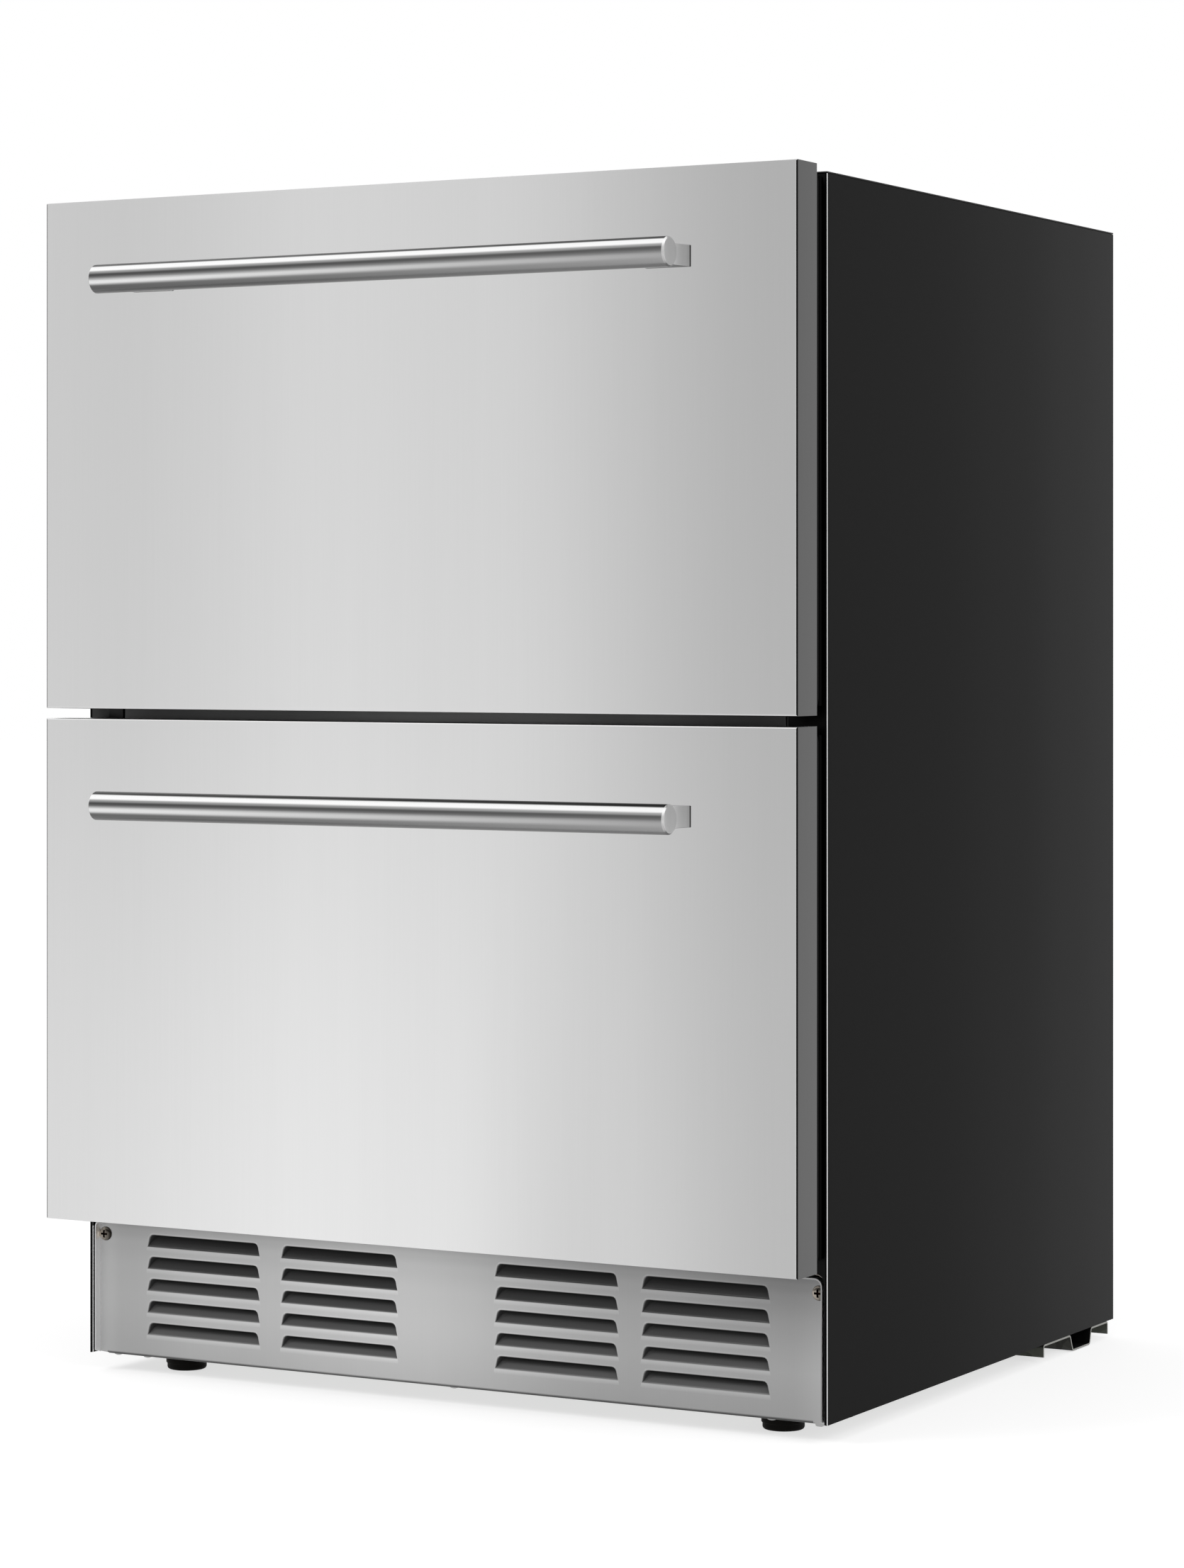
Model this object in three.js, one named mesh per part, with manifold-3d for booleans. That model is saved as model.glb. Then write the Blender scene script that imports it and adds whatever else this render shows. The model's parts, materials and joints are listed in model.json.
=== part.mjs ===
// Undercounter refrigerator with two drawers, in millimetres, +Z up, the drawers facing -Y.
// Inside this file Y is measured from the drawers' front faces (0) towards the rear, X from the
// middle of the cabinet and Z from the floor. The finished group is centred on its own depth.
import * as THREE from "three";
import { mergeVertices } from "three/addons/utils/BufferGeometryUtils.js";
import Module from "manifold-3d";

const wasm = await Module();
wasm.setup();

// ---------------------------------------------------------------- driving dimensions

// Clearances: between pieces that seat on each other, and between pieces that slide.
const SEAT = 0.3;
const RUN = 0.5;

// Drawer fronts: folded steel skins over a moulded inner panel.
const FRONT_WIDTH = 595;
const UPPER_FRONT_HEIGHT = 359;
const LOWER_FRONT_HEIGHT = 356;
const FRONT_GAP = 7;
const FRONT_BOTTOM = 116;
const SKIN_DEPTH = 29;
const SKIN_SHEET = 1;
const SKIN_CORNER = 0.8;
const PANEL_DEPTH = 38;
const PANEL_INSET = 3;
const PANEL_CORNER = 8;
const PLATEAU_HEIGHT = 5;
const PLATEAU_CORNER = 20;

// Magnetic gasket, running round the rear of each front.
const GASKET_HEAD = 14;
const GASKET_BASE = 11;
const GASKET_WAIST = 6;
const GASKET_DART = 3.4;
const GASKET_DART_DEPTH = 4;
const GASKET_EDGE = 6;

// Handles: a round bar on two posts.
const HANDLE_LENGTH = 452;
const HANDLE_RADIUS = 10;
const HANDLE_CHAMFER = 1.1;
const HANDLE_STANDOFF = 40;
const HANDLE_DROP = 59.5;
const POST_WIDTH = 33;
const POST_HEIGHT = 15;
const POST_WAIST = 2.6;
const POST_FROM_END = 5.5;

// Cabinet shell.
const FRONT_OVERHANG = 2.5;
const CABINET_SET_BACK = 49.5;
const CABINET_DEPTH = 497;
const CABINET_BOTTOM = 13.5;
const TOP_STEP = 3;
const SHEET = 1;
const SHEET_BEND = 1.5;
const SHELL_FLANGE = 18;
const TOP_FOLD = 12;
const TRIM_WIDTH = 1.2;
const TRIM_DEPTH = 2;
const FRAME_THICKNESS = 2.5;
const FRAME_BORDER = 27.2;
const FRAME_SILL = 34;
const FRAME_HEAD = 36;
const FRAME_CORNER = 6;
const FRAME_CHEEK = 1;
const MULLION_HEIGHT = 56;
const MULLION_DEPTH = 24;
const MULLION_JOINT = 2;

// Moulded food liner, stepped over the machine bay, and the foam round it.
const LINER_SHEET = 2;
const WALL_THICKNESS = 26;
const REAR_THICKNESS = 41;
const LINER_STEP_FRONT = 326;
const LINER_STEP_TOP = 227;
const LINER_CORNER = 12;
const BAY_CEILING_SHEET = 1;
const BAY_STEP_FRONT = 356;
const BAY_STEP_TOP = 212;

// Telescopic rails, measured from the liner's wall.
const RAIL_HEIGHT = 44;
const RAIL_DEPTH = 11;
const RAIL_SHEET = 1.2;
const RAIL_LIP = 5;
const RAIL_FRONT = 58;
const RAIL_LENGTH = 390;
const RAIL_HAT_HEIGHT = 28;
const RAIL_PROUD = 1.8;
const LEDGE_WIDTH = 13;
const LEDGE_SHEET = 1.5;
const BRACKET_HEIGHT = 70;
const UPPER_RAIL_HEIGHT = 614;
const LOWER_RAIL_HEIGHT = 304;

// Food bins, one in each drawer.
const BIN_WALL = 2.5;
const BIN_FRONT = 46;
const BIN_REAR = 440;
const BIN_CORNER = 14;
const BIN_RIM = 6;
const BIN_RIM_HEIGHT = 5;
const UPPER_BIN_BOTTOM = 512;
const UPPER_BIN_TOP = 742;
const LOWER_BIN_BOTTOM = 158;
const LOWER_BIN_TOP = 430;
const BIN_STEP_CLEARANCE = 8;

// Kick grille with pressed louvres.
const GRILLE_SHEET = 1;
const GRILLE_RECESS = 7.5;
const GRILLE_TOP = 112;
const GRILLE_CORNER = 7;
const GRILLE_FLANGE = 15;
const LOUVRE_LENGTH = 96.4;
const LOUVRE_HEIGHT = 9.3;
const LOUVRE_PITCH = 15.8;
const LOUVRE_ROWS = 5;
const LOUVRE_LOWEST = 28.8;
const LOUVRE_INNER_START = 39;
const LOUVRE_GROUP_GAP = 17.8;
const LOUVRE_CORNER = 3.8;
const LOUVRE_FLARE = 1.8;
const LOUVRE_DEPTH = 8.5;
const LOUVRE_RISE = 7.4;
const LOUVRE_TAPER = 7;
const GRILLE_SCREW_INSET = 6.2;
const GRILLE_SCREW_DROP = 13;
const SCREW_HEAD_RADIUS = 4.8;
const SCREW_HEAD_HEIGHT = 2.8;
const SCREW_SHANK_RADIUS = 2;
const SCREW_LENGTH = 12;
const DIMPLE_RADIUS = 4;
const DIMPLE_HEIGHT = 1.8;
const DIMPLE_INSETS = [22.2, 46.2];
const DIMPLE_RIGHT_INSET = 40.2;
const DIMPLE_MIDDLE = 4;
const CORNER_TAB_WIDTH = 7;
const CORNER_TAB_DROP = 2.2;

// Base: front pan, rear channel and levelling feet.
const BASE_SHEET = 1.3;
const BASE_SIDE_GAP = 4;
const PAN_LIP = 12;
const CHANNEL_FRONT = 415;
const CHANNEL_WELL_FRONT = 465;
const CHANNEL_WELL_REAR = 506;
const CHANNEL_REAR = 539;
const CHANNEL_FLOOR_GAP = 1.8;
const CHANNEL_FLANGE_GAP = 4;
const CHANNEL_DRAFT = 4;
const FOOT_INSET = 54;
const FOOT_FRONT = 94;
const FOOT_REAR = 440;
const FOOT_RADIUS = 15;
const FOOT_BODY_RADIUS = 13.8;
const FOOT_SOLE_RADIUS = 12;
const FOOT_COLLAR_HEIGHT = 6.8;
const FOOT_HEIGHT = 11.4;
const FOOT_CHAMFER = 0.9;
const STUD_RADIUS = 4;
const STUD_TOP = 42;
const BOSS_RADIUS = 8;
const BOSS_HEIGHT = 12;

// Machine bay.
const COMPRESSOR_IN_FROM_FOOT = 91;
const COMPRESSOR_WIDTH = 158;
const COMPRESSOR_DEPTH = 112;
const COMPRESSOR_HEIGHT = 150;
const COMPRESSOR_GROMMET = 9;
const CONDENSER_IN_FROM_FOOT = 15;
const CONDENSER_WIDTH = 180;
const ELECTRIC_BOX_IN_FROM_FOOT = 51;
const ELECTRIC_BOX_WIDTH = 130;
const ELECTRIC_BOX_FRONT = 220;
const ELECTRIC_BOX_DEPTH = 110;
const ELECTRIC_BOX_HEIGHT = 58;
const CONDENSER_FRONT = 90;
const CONDENSER_FIN_PITCH = 12;
const CONDENSER_DEPTH = 62;
const CONDENSER_HEIGHT = 82;
const FAN_RADIUS = 38;
const FAN_HUB_RADIUS = 13;
const FAN_BLADES = 5;
const FAN_CLEARANCE = 3;
const FAN_DEPTH = 16;
const SHROUD_SHEET = 2;
const SHROUD_BEHIND = 14;
const MOTOR_RADIUS = 18;
const MOTOR_LENGTH = 26;
const DRIP_TRAY_IN_FROM_FOOT = 19;
const DRIP_TRAY_WIDTH = 202;
const DRIP_TRAY_HEIGHT = 30;
const GLAND_RADIUS = 11;
const COVER_SLOTS = 6;
const COVER_SLOT_PITCH = 20;

// Cold air system in the rear of the cabinet.
const DUCT_COVER_SIDE_GAP = 61;
const DUCT_COVER_BOTTOM = 245;
const DUCT_COVER_TOP = 772;
const DUCT_COVER_FRONT = 456;
const DUCT_SHEET = 2;
const EVAPORATOR_END_GAP = 35;
const EVAPORATOR_BOTTOM = 330;
const EVAPORATOR_HEIGHT = 200;
const EVAPORATOR_DEPTH = 30;
const EVAPORATOR_FIN_PITCH = 20;
const COLD_FAN_HEIGHT = 655;
const COLD_FAN_RADIUS = 50;
const COLD_FAN_DEPTH = 12;
const VENT_SLOTS = 7;

// Controls and light, under the liner's ceiling.
const CONTROL_HALF = 95;
const CONTROL_FRONT = 58;
const CONTROL_DEPTH = 42;
const CONTROL_HEIGHT = 13;
const LIGHT_HALF = 80;
const LIGHT_FRONT = 190;
const LIGHT_DEPTH = 34;
const LIGHT_HEIGHT = 9;

// ---------------------------------------------------------------- derived levels and planes

const frontHalf = FRONT_WIDTH / 2;
const lowerFrontTop = FRONT_BOTTOM + LOWER_FRONT_HEIGHT;
const upperFrontBottom = lowerFrontTop + FRONT_GAP;
const frontTop = upperFrontBottom + UPPER_FRONT_HEIGHT;
const cabinetHalf = frontHalf - FRONT_OVERHANG;
const cabinetTop = frontTop - TOP_STEP;
const cabinetFront = CABINET_SET_BACK;
const cabinetRear = cabinetFront + CABINET_DEPTH;
const sidePanelFront = cabinetFront + TRIM_DEPTH + SEAT;
const frameHalf = cabinetHalf - TRIM_WIDTH - SEAT;
const frameRear = cabinetFront + SEAT + FRAME_THICKNESS;
const flangeFront = frameRear + SEAT;
const shellInsideHalf = cabinetHalf - SHEET - SEAT;
const shellInsideFront = flangeFront + SHEET + SEAT;
const shellInsideRear = cabinetRear - SHEET - SEAT;
const frameTop = cabinetTop - SHEET - SEAT;
const openingHalf = frameHalf - FRAME_BORDER;
const openingBottom = GRILLE_TOP + FRAME_SILL;
const openingTop = frameTop - FRAME_HEAD;
const mullionMiddle = lowerFrontTop + FRONT_GAP / 2;
const linerHalf = cabinetHalf - SHEET - WALL_THICKNESS - LINER_SHEET;
const linerFront = frameRear + SEAT;
const linerRear = cabinetRear - SHEET - REAR_THICKNESS - LINER_SHEET;
const linerFloor = openingBottom + SEAT;
const linerCeiling = openingTop - SEAT;
const panelRear = PANEL_DEPTH;
const gasketFront = panelRear + SEAT;
const gasketDepth = cabinetFront + SEAT - SEAT - gasketFront;
const grilleFront = cabinetFront + GRILLE_RECESS;
const grilleRear = grilleFront + GRILLE_SHEET;
const grilleHalf = frameHalf - FRAME_CHEEK - SEAT;
const grilleTop = GRILLE_TOP - BAY_CEILING_SHEET - SEAT;
const lowerFlangeRear = grilleRear + SEAT + SHEET;
const footSide = cabinetHalf - FOOT_INSET;
const compressorX = footSide - COMPRESSOR_IN_FROM_FOOT;
const condenserLeft = CONDENSER_IN_FROM_FOOT - footSide;
const condenserRight = condenserLeft + CONDENSER_WIDTH;
const electricBoxRight = footSide - ELECTRIC_BOX_IN_FROM_FOOT;
const dripTrayLeft = DRIP_TRAY_IN_FROM_FOOT - footSide;
const dripTrayRight = dripTrayLeft + DRIP_TRAY_WIDTH;
const ductHalf = linerHalf - DUCT_COVER_SIDE_GAP;
const evaporatorHalf = ductHalf - EVAPORATOR_END_GAP;
const grilleBottom = CABINET_BOTTOM;
const screwX = grilleHalf - GRILLE_SCREW_INSET;
const screwZ = GRILLE_TOP - GRILLE_SCREW_DROP;
const panFloor = CABINET_BOTTOM + SHEET + SEAT;
const glandCentre = [0, CABINET_BOTTOM + 36];
const baseHalf = cabinetHalf - BASE_SIDE_GAP;
const channelTop = CABINET_BOTTOM - SEAT;
const overallFront = -HANDLE_STANDOFF - HANDLE_RADIUS;
const depthMiddle = (overallFront + cabinetRear) / 2;

// ---------------------------------------------------------------- finishes

const finish = (color, roughness, metalness) =>
  new THREE.MeshStandardMaterial({ color, roughness, metalness });
const brushedSteel = finish(0xc9c9c8, 0.34, 1);
const polishedSteel = finish(0xd6d6d6, 0.22, 1);
const galvanisedSteel = finish(0x7d7f7a, 0.5, 0.9);
const railSteel = finish(0xa9abad, 0.38, 0.9);
const paintedSteel = finish(0x2b2b2b, 0.55, 0.1);
const blackPlastic = finish(0x111111, 0.5, 0);
const blackRubber = finish(0x0b0b0b, 0.8, 0);
const linerPlastic = finish(0xd9dcdc, 0.45, 0);
const binPlastic = finish(0xe6e9ea, 0.3, 0);
const foam = finish(0xe3cf8d, 0.95, 0);
const compressorPaint = finish(0x18191a, 0.4, 0.2);
const finAluminium = finish(0xb7babd, 0.4, 0.9);
const lampLens = finish(0xf4f7fa, 0.2, 0);

// ---------------------------------------------------------------- shape helpers

// A closed geometry as a solid that can be joined and cut.
function solid(geometry) {
  const bare = geometry.index ? geometry.toNonIndexed() : geometry.clone();
  const only = new THREE.BufferGeometry().setAttribute("position", bare.getAttribute("position"));
  const merged = mergeVertices(only, 1e-4);
  return new wasm.Manifold(
    new wasm.Mesh({
      numProp: 3,
      vertProperties: merged.attributes.position.array,
      triVerts: new Uint32Array(merged.index.array),
    }),
  );
}

// The solid's surface as a geometry with flat shading.
function surface(body) {
  const mesh = body.getMesh();
  const points = new Float32Array(mesh.numVert * 3);
  for (let i = 0; i < mesh.numVert; i++) {
    const from = i * mesh.numProp;
    points.set(mesh.vertProperties.subarray(from, from + 3), i * 3);
  }
  const indexed = new THREE.BufferGeometry()
    .setAttribute("position", new THREE.BufferAttribute(points, 3))
    .setIndex(new THREE.BufferAttribute(mesh.triVerts, 1));
  const flat = indexed.toNonIndexed();
  flat.computeVertexNormals();
  return flat;
}

const joined = (bodies) => bodies.reduce((all, next) => all.add(next));
const cut = (body, tools) => tools.reduce((rest, tool) => rest.subtract(tool), body);

function box([x0, x1], [y0, y1], [z0, z1]) {
  const geometry = new THREE.BoxGeometry(x1 - x0, y1 - y0, z1 - z0);
  geometry.translate((x0 + x1) / 2, (y0 + y1) / 2, (z0 + z1) / 2);
  return solid(geometry);
}

// Extrusions of a flat shape along one axis. The shape's own two axes are the other two, in X, Y, Z order.
function extruded(shape, length, across, up, along, start, curveSegments) {
  const geometry = new THREE.ExtrudeGeometry(shape, {
    depth: length,
    bevelEnabled: false,
    curveSegments,
  });
  geometry.applyMatrix4(new THREE.Matrix4().makeBasis(across, up, along).setPosition(start));
  return solid(geometry);
}

const X = new THREE.Vector3(1, 0, 0);
const Y = new THREE.Vector3(0, 1, 0);
const Z = new THREE.Vector3(0, 0, 1);
const FRONTWARD = new THREE.Vector3(0, -1, 0);

const alongX = (shape, x0, x1, steps = 4) =>
  extruded(shape, x1 - x0, Y, Z, X, new THREE.Vector3(x0, 0, 0), steps);
const alongY = (shape, y0, y1, steps = 4) =>
  extruded(shape, y1 - y0, X, Z, FRONTWARD, new THREE.Vector3(0, y1, 0), steps);
const alongZ = (shape, z0, z1, steps = 4) =>
  extruded(shape, z1 - z0, X, Y, Z, new THREE.Vector3(0, 0, z0), steps);

const polygon = (points) => new THREE.Shape(points.map(([a, b]) => new THREE.Vector2(a, b)));

// A polygon whose corners are rounded by arcs of up to the given radius.
function roundedPolygon(points, radius) {
  const shape = new THREE.Shape();
  points.forEach((corner, i) => {
    const here = new THREE.Vector2(...corner);
    const before = new THREE.Vector2(...points[(i + points.length - 1) % points.length]);
    const after = new THREE.Vector2(...points[(i + 1) % points.length]);
    const reach = Math.min(radius, before.distanceTo(here) / 2.1, after.distanceTo(here) / 2.1);
    const enter = here.clone().add(before.sub(here).setLength(reach));
    const leave = here.clone().add(after.sub(here).setLength(reach));
    if (i === 0) shape.moveTo(enter.x, enter.y);
    else shape.lineTo(enter.x, enter.y);
    shape.quadraticCurveTo(here.x, here.y, leave.x, leave.y);
  });
  shape.closePath();
  return shape;
}

function circle(radius, [a, b], sides = 24) {
  const points = Array.from({ length: sides }, (_, i) => {
    const turn = (2 * Math.PI * i) / sides;
    return [a + radius * Math.cos(turn), b + radius * Math.sin(turn)];
  });
  return polygon(points);
}

function roundedRect([x0, x1], [y0, y1], radius) {
  return roundedPolygon(
    [
      [x0, y0],
      [x1, y0],
      [x1, y1],
      [x0, y1],
    ],
    radius,
  );
}

// A round solid from a profile of [radius, height] pairs, turned about an axis through a point.
function turned(profile, centre, axis = Z, sides = 24) {
  const closed = [[0, profile[0][1]], ...profile, [0, profile[profile.length - 1][1]]];
  const points = closed.map(([r, h]) => new THREE.Vector2(r, h));
  const geometry = new THREE.LatheGeometry(points, sides);
  geometry.applyQuaternion(new THREE.Quaternion().setFromUnitVectors(Y, axis));
  geometry.translate(...centre);
  return solid(geometry);
}

const rod = (radius, length, centre, axis, sides = 24) =>
  turned(
    [
      [radius, 0],
      [radius, length],
    ],
    centre,
    axis,
    sides,
  );

function signedVolume(points, faces) {
  const total = faces.reduce((sum, [a, b, c]) => {
    const edge = points[b].clone().cross(points[c]);
    return sum + points[a].dot(edge);
  }, 0);
  return total / 6;
}

// A closed surface from points and faces, turned to face outwards.
function closedSurface(points, faces) {
  const outward = signedVolume(points, faces) > 0;
  const index = faces.flatMap(([a, b, c]) => (outward ? [a, b, c] : [a, c, b]));
  const geometry = new THREE.BufferGeometry().setFromPoints(points);
  geometry.setIndex(index);
  return solid(geometry);
}

// A solid through rings of points of equal count, each ring convex and flat.
function lofted(rings) {
  const count = rings[0].length;
  const points = rings.flat();
  const faces = [];
  for (let ring = 0; ring + 1 < rings.length; ring++) {
    for (let i = 0; i < count; i++) {
      const a = ring * count + i;
      const b = ring * count + ((i + 1) % count);
      faces.push([a, b, b + count], [a, b + count, a + count]);
    }
  }
  const last = (rings.length - 1) * count;
  for (let i = 1; i + 1 < count; i++) {
    faces.push([0, i + 1, i], [last, last + i, last + i + 1]);
  }
  return closedSurface(points, faces);
}

// A profile of [outward, rearward] pairs carried round a rectangle with mitred corners.
function mitredRing(profile, halfWidth, [bottom, top], front) {
  const count = profile.length;
  const signs = [
    [-1, -1],
    [1, -1],
    [1, 1],
    [-1, 1],
  ];
  const middle = (bottom + top) / 2;
  const halfHeight = (top - bottom) / 2;
  const corner = ([sx, sz]) =>
    profile.map(([out, back]) => {
      const x = sx * (halfWidth + out);
      const z = middle + sz * (halfHeight + out);
      return new THREE.Vector3(x, front + back, z);
    });
  const points = signs.flatMap(corner);
  const faces = [];
  for (let side = 0; side < 4; side++) {
    for (let i = 0; i < count; i++) {
      const a = side * count + i;
      const b = side * count + ((i + 1) % count);
      const c = ((side + 1) % 4) * count + ((i + 1) % count);
      const d = ((side + 1) % 4) * count + i;
      faces.push([a, b, c], [a, c, d]);
    }
  }
  return closedSurface(points, faces);
}

const fridge = new THREE.Group();

// A named group under the part, or under another group, at a place of its own.
function group(name, parent = fridge, place = [0, 0, 0]) {
  const made = new THREE.Group();
  made.name = name;
  made.position.set(...place);
  parent.add(made);
  return made;
}

// A named mesh from a solid, added to its group at a place of its own.
function piece(parent, name, body, material, place = [0, 0, 0]) {
  const mesh = new THREE.Mesh(surface(body), material);
  mesh.name = name;
  mesh.position.set(...place);
  parent.add(mesh);
}

// A piece and its twin mirrored in the cabinet's middle plane; the body is the right-hand one.
function pieceOnBothSides(parent, name, body, material, [x, y, z] = [0, 0, 0]) {
  piece(parent, `${name}_right`, body, material, [x, y, z]);
  piece(parent, `${name}_left`, body.mirror([1, 0, 0]), material, [-x, y, z]);
}

// ---------------------------------------------------------------- drawer fronts

// Folded steel skin, open at the rear, with a fine chamfer down its two front corners.
function frontSkin([bottom, top]) {
  const outline = polygon([
    [-frontHalf + SKIN_CORNER, 0],
    [frontHalf - SKIN_CORNER, 0],
    [frontHalf, SKIN_CORNER],
    [frontHalf, SKIN_DEPTH],
    [-frontHalf, SKIN_DEPTH],
    [-frontHalf, SKIN_CORNER],
  ]);
  const inside = frontHalf - SKIN_SHEET;
  const hollow = box(
    [-inside, inside],
    [SKIN_SHEET, SKIN_DEPTH + 1],
    [bottom + SKIN_SHEET, top - SKIN_SHEET],
  );
  return alongZ(outline, bottom, top).subtract(hollow);
}

// Where the middle of the gasket runs, in from the edges of the front.
const gasketIn = GASKET_EDGE + GASKET_HEAD / 2;
const gasketHalf = frontHalf - gasketIn;
const gasketRows = ([bottom, top]) => [bottom + gasketIn, top - gasketIn];

function dartProfile(slack) {
  const half = GASKET_DART / 2 + slack;
  const depth = GASKET_DART_DEPTH + slack;
  return [
    [-half, 0],
    [half, 0],
    [half, -depth],
    [-half, -depth],
  ];
}

// Moulded inner panel that fills the skin, with a groove for the gasket and a raised middle.
function frontPanel([bottom, top]) {
  const fit = SKIN_SHEET + SEAT;
  const core = box(
    [-frontHalf + fit, frontHalf - fit],
    [fit, SKIN_DEPTH],
    [bottom + fit, top - fit],
  );
  const backHalf = frontHalf - PANEL_INSET;
  const back = alongY(
    roundedRect(
      [-backHalf, backHalf],
      [bottom + PANEL_INSET, top - PANEL_INSET],
      PANEL_CORNER,
    ),
    SKIN_DEPTH - 1,
    panelRear,
  );
  const plateauIn = gasketIn + GASKET_HEAD;
  const plateau = alongY(
    roundedRect(
      [-frontHalf + plateauIn, frontHalf - plateauIn],
      [bottom + plateauIn, top - plateauIn],
      PLATEAU_CORNER,
    ),
    panelRear - 1,
    panelRear + PLATEAU_HEIGHT,
    5,
  );
  const grooveProfile = dartProfile(SEAT).map(([out, back]) => [out, back > -1 ? 1 : back]);
  const groove = mitredRing(grooveProfile, gasketHalf, gasketRows([bottom, top]), panelRear);
  return joined([core, back, plateau]).subtract(groove);
}

// Gasket section: dart, base strip, two bellows folds and the flat head that holds the magnet.
function gasketRing(rows) {
  const dart = GASKET_DART / 2;
  const base = GASKET_BASE / 2;
  const waist = GASKET_WAIST / 2;
  const head = GASKET_HEAD / 2;
  const headFront = gasketDepth - 4;
  const half = [
    [dart, -GASKET_DART_DEPTH],
    [dart, 0],
    [base, 0],
    [base, 1.6],
    [waist, 2.6],
    [waist + 1.6, (2.6 + headFront) / 2],
    [waist, headFront - 0.6],
    [head, headFront],
    [head, gasketDepth - 0.8],
    [head - 0.8, gasketDepth],
  ];
  const otherHalf = half.map(([out, back]) => [-out, back]).reverse();
  return mitredRing([...half, ...otherHalf], gasketHalf, gasketRows(rows), gasketFront);
}

// ---------------------------------------------------------------- handles

// Both are drawn about the bar's own height.
function handleBar() {
  const profile = [
    [HANDLE_RADIUS - HANDLE_CHAMFER, 0],
    [HANDLE_RADIUS, HANDLE_CHAMFER],
    [HANDLE_RADIUS, HANDLE_LENGTH - HANDLE_CHAMFER],
    [HANDLE_RADIUS - HANDLE_CHAMFER, HANDLE_LENGTH],
  ];
  return turned(profile, [-HANDLE_LENGTH / 2, -HANDLE_STANDOFF, 0], X, 32);
}

// Post with drawn-in flanks, its front cut to a saddle that fits the bar.
function handlePost() {
  const half = POST_WIDTH / 2;
  const shape = new THREE.Shape();
  shape.moveTo(-half, -SEAT);
  shape.quadraticCurveTo(
    -half + 2 * POST_WAIST,
    -HANDLE_STANDOFF / 2,
    -half + POST_WAIST / 2,
    -HANDLE_STANDOFF,
  );
  shape.lineTo(half - POST_WAIST / 2, -HANDLE_STANDOFF);
  shape.quadraticCurveTo(half - 2 * POST_WAIST, -HANDLE_STANDOFF / 2, half, -SEAT);
  shape.closePath();
  const block = alongZ(shape, -POST_HEIGHT / 2, POST_HEIGHT / 2, 6);
  const saddle = rod(
    HANDLE_RADIUS + SEAT,
    2 * POST_WIDTH,
    [-POST_WIDTH, -HANDLE_STANDOFF, 0],
    X,
    32,
  );
  const inFront = box(
    [-POST_WIDTH, POST_WIDTH],
    [-2 * HANDLE_STANDOFF, -HANDLE_STANDOFF],
    [-POST_HEIGHT, POST_HEIGHT],
  );
  return cut(block, [saddle, inFront]);
}

// ---------------------------------------------------------------- telescopic rails

// Rail sections as [from the wall, up from the rail's middle] pairs, for one side of the cabinet.
function channelSection(wallGap, halfHeight, depth) {
  const t = RAIL_SHEET;
  const lip = halfHeight - RAIL_LIP;
  const upper = [
    [wallGap + depth, lip],
    [wallGap + depth, halfHeight],
    [wallGap, halfHeight],
  ];
  const lower = upper.map(([u, z]) => [u, -z]).reverse();
  const innerLower = [
    [wallGap + depth - t, -lip],
    [wallGap + depth - t, -halfHeight + t],
    [wallGap + t, -halfHeight + t],
  ];
  const innerUpper = innerLower.map(([u, z]) => [u, -z]).reverse();
  return [...upper, ...lower, ...innerLower, ...innerUpper];
}

const outerHalf = RAIL_HEIGHT / 2;
const middleHalf = outerHalf - RAIL_SHEET - RUN;
const middleWall = SEAT + RAIL_SHEET + RUN;
const middleDepth = RAIL_DEPTH - 2 * RAIL_SHEET - 2 * RUN;
const brimHalf = middleHalf - RAIL_SHEET - RUN;
const brimWall = middleWall + RAIL_SHEET + RUN;
const hatFace = SEAT + RAIL_DEPTH + RAIL_PROUD;
const hatHalf = RAIL_HAT_HEIGHT / 2;

// Hat section of the drawer's own rail, with the ledge that carries the bin.
function hatSection() {
  const t = RAIL_SHEET;
  const ledgeEnd = hatFace + LEDGE_WIDTH;
  return [
    [brimWall, -brimHalf],
    [brimWall + t, -brimHalf],
    [brimWall + t, -hatHalf],
    [ledgeEnd, -hatHalf],
    [ledgeEnd, -hatHalf + LEDGE_SHEET],
    [hatFace, -hatHalf + LEDGE_SHEET],
    [hatFace, hatHalf],
    [brimWall + t, hatHalf],
    [brimWall + t, brimHalf],
    [brimWall, brimHalf],
    [brimWall, hatHalf - t],
    [hatFace - t, hatHalf - t],
    [hatFace - t, -hatHalf + t],
    [brimWall, -hatHalf + t],
  ];
}

// The rails are drawn about their own height.
function railBar(section, front, rear) {
  return alongY(polygon(section.map(([u, z]) => [linerHalf - u, z])), front, rear);
}

// The drawer's rail, bent at the front into a bracket that is screwed to the inner panel.
function drawerRail() {
  const front = panelRear + PLATEAU_HEIGHT + SEAT;
  const bar = railBar(hatSection(), front, railRear - 4);
  const bracket = box(
    [linerHalf - hatFace - LEDGE_WIDTH, linerHalf - brimWall],
    [front, front + LEDGE_SHEET],
    [-BRACKET_HEIGHT / 2, BRACKET_HEIGHT / 2],
  );
  return bar.add(bracket);
}

const railRear = RAIL_FRONT + RAIL_LENGTH;

// ---------------------------------------------------------------- food bins

const binHalf = linerHalf - hatFace - RUN;
const binWaistHalf = linerHalf - hatFace - LEDGE_WIDTH - RUN;

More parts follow.
